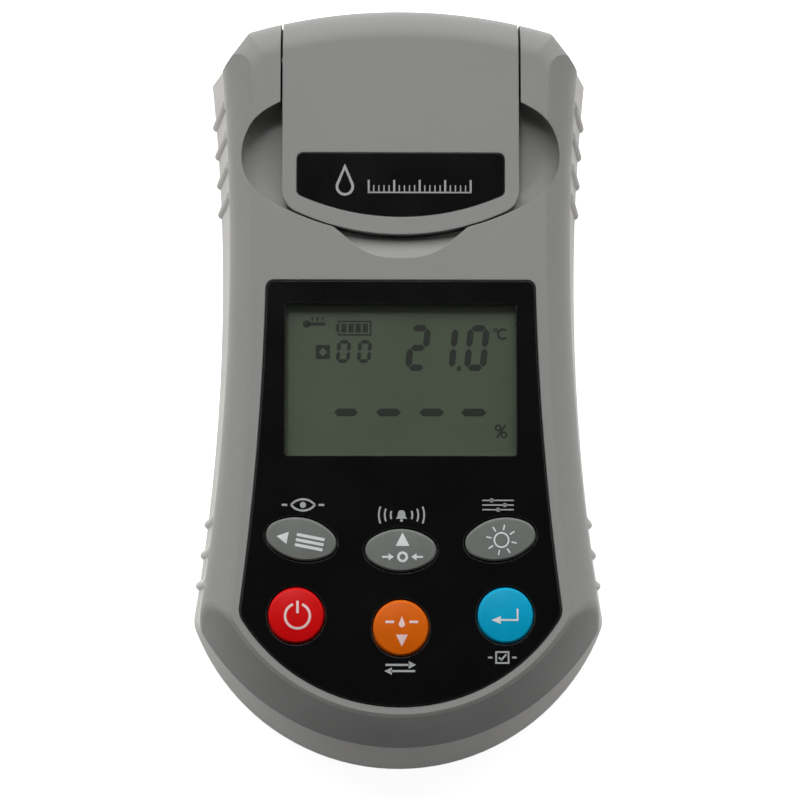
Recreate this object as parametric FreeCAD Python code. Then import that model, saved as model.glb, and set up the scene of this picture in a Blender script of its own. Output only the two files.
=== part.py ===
import FreeCAD, Part
import math
import os

# Hand-held digital refractometer for liquid samples, in millimetres.
# X runs to the right, Y from the rounded front to the hinged lid, Z up.
# The origin is on the surface that the feet rest on, under the middle of the case.

V = FreeCAD.Vector
UP = V(0, 0, 1)
RIGHT = V(1, 0, 0)

# Levels above the resting surface
foot_height = 0.8
widest_height = 3.2
parting_height = 27.0
face_height = 40.0
shoulder_drop = 3.5
wall = 2.2
floor_thickness = 3.0

# Display window and key rows, which set the length of the front panel
window_width = 47.2
window_length = 31.3
window_top_margin = 4.8
window_to_oval_row = 17.0
row_pitch = 15.4
middle_oval_drop = 2.25
middle_round_drop = 2.5
round_row_to_panel_front = 18.4
panel_side_margin = 3.9
panel_side_radius = 585.0
panel_front_radius = 38.1
panel_front_corner = 4.0
panel_back_corner = 1.7
panel_thickness = 1.2
panel_recess = 0.9
panel_seat_thickness = 2.0
panel_play = 0.1
panel_edge_chamfer = 0.3
window_margin = 1.2
window_corner = 0.6

# Case outline: the face, then how far each lower level stands out from it
face_border = 2.85
face_side_radius = 700.0
face_front_border = 1.9
face_front_radius = 40.0
face_corner_radius = 3.0
shoulder_side_step = 3.25
shoulder_front_step = 1.82
shoulder_side_radius = 560.0
shoulder_front_radius = 43.0
shoulder_corner_radius = 3.5
parting_side_step = 1.9
parting_front_step = 4.93
parting_side_radius = 477.0
parting_front_radius = 47.3
parting_corner_radius = 3.5
base_side_step = 3.1
base_front_step = 5.45
base_back_step = 1.2
base_side_radius = 432.0
base_front_radius = 47.25
base_corner_radius = 6.0
back_radius = 112.0
flat_angle = math.radians(36.8)
shoulder_flat = 69.31
parting_flat_step = 1.2
base_flat_step = 4.4
waist_from_panel_back = 10.3
waist_shift_per_level = 3.0
back_rounding = 7.0
face_edge_width = 0.9
face_edge_drop = 0.45
base_edge_width = 2.0

# Lid, hinge, dish and sample well, which set the length of the back part
lid_width = 48.8
lid_gap = 0.45
lid_lip_radius = 51.0
lid_corner_radius = 5.0
lid_skirt_depth = 5.0
lid_skin = 2.4
lid_lip_depth = 2.4
lid_seam = 0.05
hinge_reach = 10.66
hinge_drop = 8.0
hinge_barrel_radius = 4.0
hinge_room = 9.0
barrel_margin = 1.0
barrel_rib_x = 9.0
barrel_rib_thickness = 1.8
hinge_clearance = 0.4
skirt_drop_angle = math.radians(25.0)
pin_radius = 1.25
pin_running_clearance = 0.05
pin_half_length = 33.6
pin_press_clearance = 0.02
pin_chamfer = 0.3
ear_thickness = 3.0
label_width = 42.8
label_length = 13.3
label_margin = 3.7
label_radius = 51.0
label_thickness = 0.5
label_recess = 0.05
label_play = 0.1
label_corner = 1.4
lid_rim = 2.2
lid_rim_at_lip = 6.6
shield_margin = 2.5
shield_thickness = 1.2
shield_to_barrel = 1.4
dish_half_width = 32.9
dish_half_length = 17.0
dish_end_radius = 11.0
dish_depth = 6.0
dish_floor_rounding = 3.6
dish_wall = 1.9
lip_over_dish = 0.2
notch_half_width = 14.4
notch_length = 4.9
notch_depth = 2.6
notch_wing = 3.0
notch_wing_reach = 2.0
notch_wing_rise = 1.6
notch_shoulder = 0.28
panel_to_notch = 4.6
well_flange_radius = 8.6
well_flange_height = 0.8
well_barrel_radius = 7.2
well_mouth_radius = 7.0
well_bottom_radius = 3.7
well_depth = 3.2
lip_to_well = 4.7
well_to_hinge = 4.68
well_edge = 0.4
well_hole_clearance = 0.1
seat_gap = 0.3
seal_width = 1.6
seal_chamfer = 0.4

# Grip ribs on the lower case
rib_radius = 1.0
rib_standout = 0.8
rib_pitch_back = 6.5
rib_count_back = 4
rib_first_back = 19.4
rib_pitch_front = 6.65
rib_count_front = 3
rib_first_front = 39.4
rib_drop = 1.0

# Keys
oval_half_width = 7.2
oval_half_height = 4.3
oval_end_radius = 2.9
oval_tilt = 11.0
oval_spacing = 20.2
round_radius = 5.6
round_spacing = 21.15
key_gap = 0.4
key_proud = 0.9
key_dome_drop = 0.5
key_edge_chamfer = 0.35
key_flange = 0.8
key_flange_thickness = 1.0
key_travel = 0.8
key_stem_radius = 2.6
key_stem_above_board = 4.75
dome_radius = 3.4
dome_top_radius = 2.4
dome_gap = 0.2
contact_half = 1.8
contact_height = 0.4
contact_play = 0.2

# Display stack and main board
lens_recess = 0.3
lens_play = 0.05
lens_flange = 1.0
lens_flange_thickness = 1.2
lcd_side_border = 2.4
lcd_end_border = 2.65
lcd_thickness = 2.1
lcd_clearance = 0.1
lcd_ledge = 1.5
backlight_margin = 1.0
backlight_thickness = 2.0
holder_wall = 1.5
holder_play = 0.1
holder_corner = 1.0
zebra_width = 2.0
zebra_margin = 0.3
zebra_end_margin = 1.5
zebra_height = 4.7
board_thickness = 1.6
board_margin = 0.2
board_front_radius = 36.0
board_past_panel = 5.2
board_front_margin = 7.4
mat_thickness = 1.2
mat_margin = 0.8
post_radius = 2.2
post_from_board_side = 2.8
post_past_panel = 2.3
post_past_display = 4.7
post_hole_radius = 0.8
board_hole_radius = 1.1
board_screw_depth = 3.8
board_screw_head_radius = 1.9
board_screw_head_height = 1.2

# Battery bay, cells and door
cell_radius = 5.25
cell_length = 43.3
cell_nub_radius = 1.9
cell_nub_length = 1.2
cell_pitch = 11.2
cell_count = 4
cell_play = 0.4
spring_room = 5.2
bay_wall = 1.6
bay_from_front = 18.0
cell_end_play = 0.1
contact_thickness = 0.4
contact_half_width = 4.6
contact_half_height = 3.9
contact_slot_half_width = 1.3
contact_slot_level = 2.6
contact_slot_height = 0.8
leaf_thickness = 0.3
leaf_width = 5.0
leaf_rise = 3.0
leaf_play = 1.5
leaf_back_share = 0.3
leaf_tip_thickening = 1.3
door_overlap = 4.55
door_thickness = 2.2
door_gap = 0.3
door_tongue = 1.1
door_tongue_thickness = 0.9
door_tongue_level = 0.75
door_back_margin = 2.0
grip_groove_count = 5
grip_groove_pitch = 2.2
grip_groove_radius = 0.8
grip_groove_depth = 0.5
grip_groove_half_length = 9.0
grip_groove_step = 1.2
grip_from_bay_front = 6.0

# Case screws and feet
boss_radius = 3.2
screw_radius = 1.3
screw_head_radius = 2.6
screw_head_height = 1.8
screw_pocket_depth = 3.5
screw_clearance = 0.1
screw_head_clearance = 0.2
screw_thread_grip = 0.02
screw_in_upper_case = 7.5
screw_hole_in_upper_case = 8.0
cross_half_length = 1.4
cross_half_width = 0.3
cross_depth = 0.9
front_screw_from_side = 5.86
front_screw_from_front = 60.0
back_screw_from_side = 5.76
back_screw_from_back = 20.0
foot_radius = 4.0
foot_recess = 1.0
foot_clearance = 0.05
foot_chamfer = 0.4
front_foot_from_side = 10.7
front_foot_from_front = 30.0
back_foot_x = 20.0
back_foot_from_back = 10.0

# Optics under the well
block_half_width = 17.0
block_height = 18.0
block_top_gap = 0.35
block_corner = 1.5
block_below_prism = 2.0
block_front_margin = 12.0
block_back_margin = 10.6
prism_radius = 4.9
prism_height = 6.0
prism_seat_gap = 0.1
prism_neck_clearance = 0.1
prism_side_clearance = 0.1
prism_facet_from_axis = 4.4
prism_facet_rise = 2.0
prism_seal_thickness = 0.6
prism_seal_gap = 0.05
prism_seal_clearance = 0.02
light_above_prism_foot = 1.2
light_tilt = math.radians(30.0)
light_bore_radius = 3.2
led_radius = 2.5
led_length = 5.0
led_rim_thickness = 1.0
led_distance = 14.0
lens_radius = 3.1
lens_thickness = 2.0
lens_distance = 8.5
lens_ball_radius = 6.0
lens_edge_inset = 0.2
sensor_past_block = 3.0
sensor_length = 9.0
sensor_width = 3.0
sensor_thickness = 1.8
sensor_board_size = 14.0
sensor_board_thickness = 1.2
buzzer_radius = 6.0
buzzer_height = 5.0
buzzer_hole_radius = 1.0
buzzer_hole_depth = 1.5
buzzer_x = 17.0
buzzer_from_window = 9.0

# Lengths and places worked out from the values above
panel_length = (window_top_margin + window_length + window_to_oval_row
                + row_pitch + round_row_to_panel_front)
trough_reach = hinge_reach + hinge_clearance
lid_length = (lip_to_well + 2 * well_flange_radius + well_to_hinge
              + trough_reach + hinge_reach)
front_margin = (face_front_border + shoulder_front_step + parting_front_step
                + base_front_step)
body_length = (front_margin + panel_length + panel_to_notch + notch_length
               + lid_length + base_back_step)
base_front_y = -body_length / 2
base_back_y = body_length / 2
panel_front_y = base_front_y + front_margin
panel_back_y = panel_front_y + panel_length
notch_front_y = panel_back_y + panel_to_notch
lid_front_y = notch_front_y + notch_length
lid_back_y = base_back_y - base_back_step
hinge_y = lid_back_y - hinge_reach
dish_y = lid_front_y + dish_half_length - lip_over_dish
well_y = lid_front_y + lip_to_well + well_flange_radius
window_y = panel_back_y - window_top_margin - window_length / 2
oval_row_y = panel_back_y - window_top_margin - window_length - window_to_oval_row
round_row_y = oval_row_y - row_pitch
panel_half_waist = window_width / 2 + panel_side_margin
waist_y = panel_back_y + waist_from_panel_back
underside = foot_height
floor_top = underside + floor_thickness
shoulder_height = face_height - shoulder_drop
hinge_height = face_height - hinge_drop
rib_top = parting_height - rib_drop
dish_floor = face_height - dish_depth
panel_floor = face_height - panel_recess
panel_top = panel_floor + panel_thickness
ceiling = panel_floor - panel_seat_thickness
lcd_level = ceiling - lcd_clearance - lcd_thickness
board_top = lcd_level - zebra_height
board_level = board_top - board_thickness
key_stem_bottom = board_top + key_stem_above_board
door_top = underside + door_thickness
cell_z = door_top + cell_play + cell_radius
bay_half_width = (cell_count - 1) * cell_pitch / 2 + cell_radius + cell_play
bay_length = cell_length + cell_nub_length + spring_room
bay_front_y = base_front_y + bay_from_front
bay_back_y = bay_front_y + bay_length
bay_top = cell_z + cell_radius + cell_play
door_back_y = bay_back_y + door_back_margin
board_back_y = panel_back_y + board_past_panel
board_front_y = panel_front_y + board_front_margin
well_floor = dish_floor + well_flange_height - well_depth
prism_top = well_floor - prism_seal_gap
shield_back_y = hinge_y - hinge_barrel_radius - shield_to_barrel
block_top = dish_floor - dish_wall - block_top_gap
well_bottom = dish_floor - dish_wall - seat_gap
block_bottom = block_top - block_height
block_front_y = well_y - block_front_margin
block_back_y = well_y + block_back_margin
optic_z = prism_top - prism_height + light_above_prism_foot
lcd_width = window_width + 2 * lcd_side_border
lcd_length = window_length + 2 * lcd_end_border
board_half_width = lcd_width / 2 + holder_play + holder_wall + board_margin
door_half_width = bay_half_width + door_overlap
post_places = [(side * (board_half_width - post_from_board_side), y)
               for side in (-1, 1)
               for y in (panel_back_y + post_past_panel,
                         window_y - lcd_length / 2 - post_past_display)]

# Reach of cutting tools: past a face, past the case and right through it
past = 1.0
past_case = 5.0
far_out = body_length


# Plane geometry helpers

def circles_meet(first, first_radius, second, second_radius):
    """The crossing of two circles that lies furthest to the front and right."""
    dx = second[0] - first[0]
    dy = second[1] - first[1]
    apart = math.hypot(dx, dy)
    along = (first_radius ** 2 - second_radius ** 2 + apart ** 2) / (2 * apart)
    across = math.sqrt(first_radius ** 2 - along ** 2)
    foot_x = first[0] + along * dx / apart
    foot_y = first[1] + along * dy / apart
    crossings = [(foot_x - side * across * dy / apart, foot_y + side * across * dx / apart)
                 for side in (1, -1)]
    return max(crossings, key=lambda point: point[0] - point[1])


def line_meets_circle(angle, distance, centre, radius, prefer):
    """Where a line, given by its normal's angle and its distance, crosses a circle."""
    nx = math.cos(angle)
    ny = math.sin(angle)
    gap = distance - nx * centre[0] - ny * centre[1]
    half = math.sqrt(radius ** 2 - gap ** 2)
    crossings = [(centre[0] + nx * gap - side * half * ny, centre[1] + ny * gap + side * half * nx)
                 for side in (1, -1)]
    return max(crossings, key=prefer)


def on_circle(centre, point, radius):
    """The point of a circle in the direction of another point."""
    dx = point[0] - centre[0]
    dy = point[1] - centre[1]
    length = math.hypot(dx, dy)
    return (centre[0] + dx * radius / length, centre[1] + dy * radius / length)


def between(first, second):
    return ((first[0] + second[0]) / 2, (first[1] + second[1]) / 2)


def side_and_front(half_waist, at_y, side_radius, front_y, front_radius, corner_radius):
    """Centres and tangent points of a hollow side, a round front and the corner between them."""
    side = (half_waist + side_radius, at_y)
    front = (0, front_y + front_radius)
    corner = circles_meet(side, side_radius + corner_radius, front, front_radius - corner_radius)
    on_side = on_circle(side, corner, side_radius)
    on_front = on_circle(front, corner, front_radius)
    middle = on_circle(corner, between(on_side, on_front), corner_radius)
    return side, on_side, middle, on_front


def arc(first, middle, last):
    return Part.Arc(first, middle, last).toShape()


def line(first, last):
    return Part.LineSegment(first, last).toShape()


def mirrored(edges):
    """The same edges on the left side."""
    return [edge.mirror(V(0, 0, 0), RIGHT) for edge in edges]


def closed(edges):
    return Part.Wire(Part.__sortEdges__(edges))


def prism(wire, height):
    return Part.Face(wire).extrude(V(0, 0, height))


def box(x0, x1, y0, y1, z0, z1):
    return Part.makeBox(x1 - x0, y1 - y0, z1 - z0, V(x0, y0, z0))


def disc(radius, height, x, y, z):
    return Part.makeCylinder(radius, height, V(x, y, z))


def rounded_box(x0, x1, y0, y1, z0, z1, radius):
    block = box(x0, x1, y0, y1, z0, z1)
    uprights = [edge for edge in block.Edges if edge.BoundBox.ZLength > (z1 - z0) / 2]
    return block.makeFillet(radius, uprights)


def oval_prism(half_width, half_height, end_radius, z0, z1):
    """Upright prism over an oval of four arcs, or a cylinder where both halves are equal."""
    if abs(half_width - half_height) < 1e-6:
        return disc(half_width, z1 - z0, 0, 0, z0)
    reach = half_width - end_radius
    side_radius = ((reach ** 2 + half_height ** 2 - end_radius ** 2)
                   / (2 * (half_height - end_radius)))
    x, y = on_circle((0, half_height - side_radius), (reach, 0), side_radius)
    wire = Part.Wire([arc(V(-x, y, z0), V(0, half_height, z0), V(x, y, z0)),
                      arc(V(x, y, z0), V(half_width, 0, z0), V(x, -y, z0)),
                      arc(V(x, -y, z0), V(0, -half_height, z0), V(-x, -y, z0)),
                      arc(V(-x, -y, z0), V(-half_width, 0, z0), V(-x, y, z0))])
    return prism(wire, z1 - z0)


def fused(shapes):
    whole = shapes[0]
    for shape in shapes[1:]:
        whole = whole.fuse(shape)
    return whole.removeSplitter()


def edges_at(shape, z, test=lambda box: True):
    """Level edges of a shape at one height that pass a test of their bounds."""
    return [edge for edge in shape.Edges
            if abs(edge.BoundBox.ZMin - z) < 1e-3 and abs(edge.BoundBox.ZMax - z) < 1e-3
            and test(edge.BoundBox)]


# Case outline at its four levels

def level(name):
    """Outline values of the case at one level: sides, front, corner flat and back."""
    face = dict(half_waist=panel_half_waist + face_border,
                at_y=waist_y,
                side_radius=face_side_radius,
                front_y=panel_front_y - face_front_border,
                front_radius=face_front_radius,
                corner_radius=face_corner_radius)
    if name == "face":
        return face
    shoulder = dict(half_waist=face["half_waist"] + shoulder_side_step,
                    at_y=face["at_y"] - waist_shift_per_level,
                    side_radius=shoulder_side_radius,
                    front_y=face["front_y"] - shoulder_front_step,
                    front_radius=shoulder_front_radius,
                    corner_radius=shoulder_corner_radius,
                    flat=shoulder_flat)
    if name == "shoulder":
        return shoulder
    parting = dict(half_waist=shoulder["half_waist"] + parting_side_step,
                   at_y=shoulder["at_y"] - waist_shift_per_level,
                   side_radius=parting_side_radius,
                   front_y=shoulder["front_y"] - parting_front_step,
                   front_radius=parting_front_radius,
                   corner_radius=parting_corner_radius,
                   flat=shoulder["flat"] + parting_flat_step,
                   back_y=lid_back_y)
    if name == "parting":
        return parting
    return dict(half_waist=parting["half_waist"] + base_side_step,
                at_y=parting["at_y"] - waist_shift_per_level,
                side_radius=base_side_radius,
                front_y=base_front_y,
                front_radius=base_front_radius,
                corner_radius=base_corner_radius,
                flat=parting["flat"] + base_flat_step,
                back_y=base_back_y)


def side_x(name, y):
    """Half width of the case at a level and a place along its length."""
    plan = level(name)
    centre_x = plan["half_waist"] + plan["side_radius"]
    return centre_x - math.sqrt(plan["side_radius"] ** 2 - (y - plan["at_y"]) ** 2)


def pairs(places):
    """Places on both sides of the case."""
    return [(side * x, y) for side in (-1, 1) for x, y in places]


def screw_places():
    """Case screws, each at a distance in from the case's side."""
    front_y = base_front_y + front_screw_from_front
    back_y = base_back_y - back_screw_from_back
    return pairs([(side_x("parting", front_y) - front_screw_from_side, front_y),
                  (side_x("parting", back_y) - back_screw_from_side, back_y)])


def foot_places():
    """Feet under the grip and under the back."""
    front_y = base_front_y + front_foot_from_front
    return pairs([(side_x("base", front_y) - front_foot_from_side, front_y),
                  (back_foot_x, base_back_y - back_foot_from_back)])


class Outline:
    """Sides and front of the case at one level, moved inward by an inset."""

    def __init__(self, name, z, inset):
        self.plan = level(name)
        self.z = z
        self.inset = inset
        self.side_radius = self.plan["side_radius"] + inset
        self.front_y = self.plan["front_y"] + inset
        self.side, self.on_side, self.middle, self.on_front = side_and_front(
            self.plan["half_waist"] - inset, self.plan["at_y"], self.side_radius,
            self.front_y, self.plan["front_radius"] - inset, self.plan["corner_radius"])

    def at(self, point, mirror=1):
        return V(mirror * point[0], point[1], self.z)

    def side_at(self, y):
        """The point of the right side at a place along the length."""
        across = math.sqrt(self.side_radius ** 2 - (y - self.side[1]) ** 2)
        return (self.side[0] - across, y)

    def round_front(self, start):
        """Edges from a start on the left side round the front to its mirror image."""
        side_middle = on_circle(self.side, between(start, self.on_side), self.side_radius)
        left = [arc(self.at(start, -1), self.at(side_middle, -1), self.at(self.on_side, -1)),
                arc(self.at(self.on_side, -1), self.at(self.middle, -1),
                    self.at(self.on_front, -1))]
        front = arc(self.at(self.on_front, -1), V(0, self.front_y, self.z), self.at(self.on_front))
        right = [arc(self.at(self.on_front), self.at(self.middle), self.at(self.on_side)),
                 arc(self.at(self.on_side), self.at(side_middle), self.at(start))]
        return left + [front] + right


def open_outline(name, z, inset):
    """Sides and front of the case at a level, closed by a straight line behind the back."""
    outline = Outline(name, z, inset)
    start = outline.side_at(lid_back_y + past_case)
    edges = outline.round_front(start)
    edges.append(line(outline.at(start), outline.at(start, -1)))
    return Part.Wire(edges)


def full_outline(name, z, inset=0.0):
    """Outline of the case at a level, with its corner flats and crowned back."""
    outline = Outline(name, z, inset)
    back_y = outline.plan["back_y"] - inset
    radius = back_radius - inset
    back = (0, back_y - radius)
    distance = outline.plan["flat"] - inset
    flat_side = line_meets_circle(flat_angle, distance, outline.side, outline.side_radius,
                                  lambda point: -point[0])
    flat_back = line_meets_circle(flat_angle, distance, back, radius, lambda point: point[1])
    edges = outline.round_front(flat_side)
    edges += [line(outline.at(flat_side), outline.at(flat_back)),
              arc(outline.at(flat_back), V(0, back_y, z), outline.at(flat_back, -1)),
              line(outline.at(flat_back, -1), outline.at(flat_side, -1))]
    return Part.Wire(edges)


def crown_block(inset):
    """Room in front of the crowned back wall, whose top edge is rounded."""
    radius = back_radius - inset
    rounding = back_rounding - inset
    centre = (radius - rounding, face_height - back_rounding)
    low = parting_height - past
    top = face_height - inset
    middle = on_circle(centre, (radius, top), rounding)
    profile = Part.Wire([line(V(0, 0, low), V(radius, 0, low)),
                         line(V(radius, 0, low), V(radius, 0, centre[1])),
                         arc(V(radius, 0, centre[1]), V(middle[0], 0, middle[1]),
                             V(centre[0], 0, top)),
                         line(V(centre[0], 0, top), V(0, 0, top)),
                         line(V(0, 0, top), V(0, 0, low))])
    block = Part.Face(profile).revolve(V(0, 0, 0), UP, 360)
    block.translate(V(0, lid_back_y - back_radius, 0))
    return block


def corner_block(side, inset):
    """Room inside one sloping back corner, whose top edge is rounded like the back's."""
    foot = level("parting")["flat"] - inset
    rounding = back_rounding - inset
    rise = back_rounding - shoulder_drop
    centre = (shoulder_flat - math.sqrt(back_rounding ** 2 - rise ** 2),
              face_height - back_rounding)
    low = parting_height - past
    top = face_height - inset
    join = on_circle(centre, (shoulder_flat, shoulder_height), rounding)
    middle = on_circle(centre, between(join, (centre[0], top)), rounding)
    far = -3 * shoulder_flat
    profile = Part.Wire([line(V(far, 0, low), V(foot, 0, low)),
                         line(V(foot, 0, low), V(foot, 0, parting_height)),
                         line(V(foot, 0, parting_height), V(join[0], 0, join[1])),
                         arc(V(join[0], 0, join[1]), V(middle[0], 0, middle[1]),
                             V(centre[0], 0, top)),
                         line(V(centre[0], 0, top), V(far, 0, top)),
                         line(V(far, 0, top), V(far, 0, low))])
    block = Part.Face(profile).extrude(V(0, -2 * far, 0))
    block.translate(V(0, far, 0))
    block.rotate(V(0, 0, 0), UP, math.degrees(flat_angle))
    if side < 0:
        return block.mirror(V(0, 0, 0), RIGHT)
    return block


def upper_form(inset=0.0, top=face_height):
    """Outer form of the upper case, or its hollow when moved inward."""
    parting = open_outline("parting", parting_height, inset)
    shoulder = open_outline("shoulder", shoulder_height, inset)
    if inset > 0:
        form = Part.makeLoft([parting, shoulder, open_outline("face", face_height, inset)],
                             True, True)
    else:
        # a narrow sloping edge eases the bevel into the flat face
        edge = open_outline("face", face_height - face_edge_drop, -face_edge_width / 2)
        rim = open_outline("face", face_height, face_edge_width / 2)
        form = Part.makeLoft([parting, shoulder, edge], True, False)
        form = form.fuse(Part.makeLoft([edge, rim], True, True))
    for block in (crown_block(inset), corner_block(-1, inset), corner_block(1, inset)):
        form = form.common(block)
    if top < face_height:
        form = form.common(box(-far_out, far_out, -far_out, far_out, parting_height - past, top))
    return form


def lower_form(inset=0.0, bottom=foot_height):
    """Outer form of the lower case, or its hollow when moved inward."""
    flared = Part.makeLoft([full_outline("base", widest_height, inset),
                            full_outline("parting", parting_height, inset)], True, True)
    if bottom >= widest_height:
        return flared.common(box(-far_out, far_out, -far_out, far_out,
                                 bottom, parting_height + past))
    # three outlines round the bottom edge off in two steps
    middle = bottom + (widest_height - bottom) / 4
    foot = Part.makeLoft([full_outline("base", bottom, inset + base_edge_width),
                          full_outline("base", middle, inset + base_edge_width / 3),
                          full_outline("base", widest_height, inset)], True, True)
    return flared.fuse(foot)


# Forms shared by the case, the lid and the panel

def crown(x):
    """How far the crowned back lies in front of its middle, at a distance x from the middle."""
    return back_radius - math.sqrt(back_radius ** 2 - x ** 2)


def barrel(half_width, extra):
    """Body of revolution about the hinge line that follows the crowned back."""
    edge = hinge_reach - crown(half_width) + extra
    middle = hinge_reach + extra
    profile = closed([
        line(V(-half_width, hinge_y, hinge_height), V(-half_width, hinge_y + edge, hinge_height)),
        arc(V(-half_width, hinge_y + edge, hinge_height),
            V(0, hinge_y + middle, hinge_height),
            V(half_width, hinge_y + edge, hinge_height)),
        line(V(half_width, hinge_y + edge, hinge_height), V(half_width, hinge_y, hinge_height)),
        line(V(half_width, hinge_y, hinge_height), V(-half_width, hinge_y, hinge_height))])
    return Part.Face(profile).revolve(V(0, hinge_y, hinge_height), RIGHT, 360)


def trough_keep():
    """Solid round the hinge trough that the hollow inside leaves standing."""
    half = lid_width / 2 + lid_gap + wall
    radius = hinge_reach + hinge_clearance + dish_wall
    return Part.makeCylinder(radius, 2 * half, V(-half, hinge_y, hinge_height), RIGHT)


def lid_plan(grow, z0, z1, back):
    """Plan of the lid: straight sides and a round lip with soft corners."""
    half = lid_width / 2 + grow
    front = lid_front_y - grow
    radius = lid_lip_radius + grow
    corner_radius = lid_corner_radius + grow
    centre = (0, front + radius)
    corner_x = half - corner_radius
    drop = math.sqrt((radius - corner_radius) ** 2 - corner_x ** 2)
    corner = (corner_x, centre[1] - drop)
    on_side = (half, corner[1])
    on_lip = on_circle(centre, corner, radius)
    middle = on_circle(corner, between(on_side, on_lip), corner_radius)
    right = [line(V(half, back, z0), V(half, on_side[1], z0)),
             arc(V(half, on_side[1], z0), V(middle[0], middle[1], z0), V(on_lip[0], on_lip[1], z0))]
    edges = right + mirrored(right)
    edges.append(arc(V(on_lip[0], on_lip[1], z0), V(0, front, z0), V(-on_lip[0], on_lip[1], z0)))
    edges.append(line(V(-half, back, z0), V(half, back, z0)))
    return prism(closed(edges), z1 - z0)


def dish_column(grow):
    """Upright oval column of the finger dish round the lid."""
    column = oval_prism(dish_half_width + grow, dish_half_length + grow, dish_end_radius + grow,
                        dish_floor - grow, face_height + past_case)
    column.translate(V(0, dish_y, 0))
    return column


def dish():
    """The finger dish with its rounded floor."""
    column = dish_column(0)
    return column.makeFillet(dish_floor_rounding, edges_at(column, dish_floor))


def thumb_notch():
    """Bell-shaped slope that lets a thumb reach under the lid's lip."""
    back = lid_front_y + dish_half_length
    wide = notch_half_width + notch_wing
    foot_y = lid_front_y + notch_wing_reach
    end_y = foot_y + notch_wing_rise
    shoulder_y = notch_front_y + notch_length * notch_shoulder
    right = [V(notch_half_width / 2, shoulder_y, face_height),
             V(notch_half_width, foot_y, face_height),
             V(wide, end_y, face_height)]
    left = [V(-point.x, point.y, point.z) for point in reversed(right)]
    curve = Part.BSplineCurve()
    curve.interpolate(left + [V(0, notch_front_y, face_height)] + right)
    outline = Part.Wire([curve.toShape(),
                         line(V(wide, end_y, face_height), V(wide, back, face_height)),
                         line(V(wide, back, face_height), V(-wide, back, face_height)),
                         line(V(-wide, back, face_height), V(-wide, end_y, face_height))])
    column = Part.Face(outline).extrude(V(0, 0, -2 * notch_depth))
    column = column.fuse(Part.Face(outline).extrude(V(0, 0, notch_depth)))
    slope = Part.Face(Part.makePolygon([
        V(-wide, notch_front_y, face_height + notch_depth),
        V(-wide, notch_front_y, face_height),
        V(-wide, lid_front_y, face_height - notch_depth),
        V(-wide, back, face_height - notch_depth),
        V(-wide, back, face_height + notch_depth),
        V(-wide, notch_front_y, face_height + notch_depth)]))
    return column.common(slope.extrude(V(2 * wide, 0, 0)))


def panel_plan(grow, z0, z1):
    """Plan of the front panel: hollow sides, round front and a straight back edge."""
    side, on_side, middle, on_front = side_and_front(
        panel_half_waist + grow, waist_y, panel_side_radius - grow,
        panel_front_y - grow, panel_front_radius + grow, panel_front_corner)
    back = panel_back_y + grow
    side_at_back = side[0] - math.sqrt((panel_side_radius - grow) ** 2 - (back - waist_y) ** 2)
    side_middle = on_circle(side, between((side_at_back, back), on_side), panel_side_radius - grow)
    right = [arc(V(side_at_back, back, z0), V(side_middle[0], side_middle[1], z0),
                 V(on_side[0], on_side[1], z0)),
             arc(V(on_side[0], on_side[1], z0), V(middle[0], middle[1], z0),
                 V(on_front[0], on_front[1], z0))]
    edges = right + mirrored(right)
    edges.append(arc(V(on_front[0], on_front[1], z0), V(0, panel_front_y - grow, z0),
                     V(-on_front[0], on_front[1], z0)))
    edges.append(line(V(-side_at_back, back, z0), V(side_at_back, back, z0)))
    plate = prism(closed(edges), z1 - z0)
    corners = [edge for edge in plate.Edges
               if edge.BoundBox.ZLength > (z1 - z0) / 2
               and edge.BoundBox.YMin > back - panel_back_corner]
    return plate.makeFillet(panel_back_corner, corners)


# Keys: name, plan half sizes, place and tilt

def key_list():
    return {
        "read_key": (oval_half_width, oval_half_height, -oval_spacing, oval_row_y, -oval_tilt),
        "zero_key": (oval_half_width, oval_half_height, 0, oval_row_y - middle_oval_drop, 0),
        "light_key": (oval_half_width, oval_half_height, oval_spacing, oval_row_y, oval_tilt),
        "power_key": (round_radius, round_radius, -round_spacing, round_row_y, 0),
        "test_key": (round_radius, round_radius, 0, round_row_y - middle_round_drop, 0),
        "enter_key": (round_radius, round_radius, round_spacing, round_row_y, 0),
    }


def key_plan(half_width, half_height, grow, z0, z1):
    return oval_prism(half_width + grow, half_height + grow, oval_end_radius + grow, z0, z1)


def placed(shape, x, y, tilt):
    shape.rotate(V(0, 0, 0), UP, tilt)
    shape.translate(V(x, y, 0))
    return shape


def key_holes(z0, z1):
    return [placed(key_plan(a, b, key_gap, z0, z1), x, y, tilt)
            for a, b, x, y, tilt in key_list().values()]


def key(a, b, x, y, tilt):
    """A push key: domed cap, retaining flange and a stem over its rubber dome."""
    top = panel_top + key_proud
    flange_top = ceiling - seat_gap
    flange_bottom = flange_top - key_flange_thickness
    cap = key_plan(a, b, 0, flange_bottom, top)
    cap_radius = (a ** 2 + key_dome_drop ** 2) / (2 * key_dome_drop)
    ball = Part.makeSphere(cap_radius, V(0, 0, 0), RIGHT)
    ball.translate(V(0, 0, top - cap_radius))
    cap = cap.common(ball)
    rim = [edge for edge in cap.Edges if edge.BoundBox.ZMin > panel_top]
    cap = cap.makeChamfer(key_edge_chamfer, rim)
    flange = key_plan(a, b, key_gap + key_flange, flange_bottom, flange_top)
    stem = disc(key_stem_radius, flange_bottom - key_stem_bottom, 0, 0, key_stem_bottom)
    return placed(fused([cap, flange, stem]), x, y, tilt)


# Upper case

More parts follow.
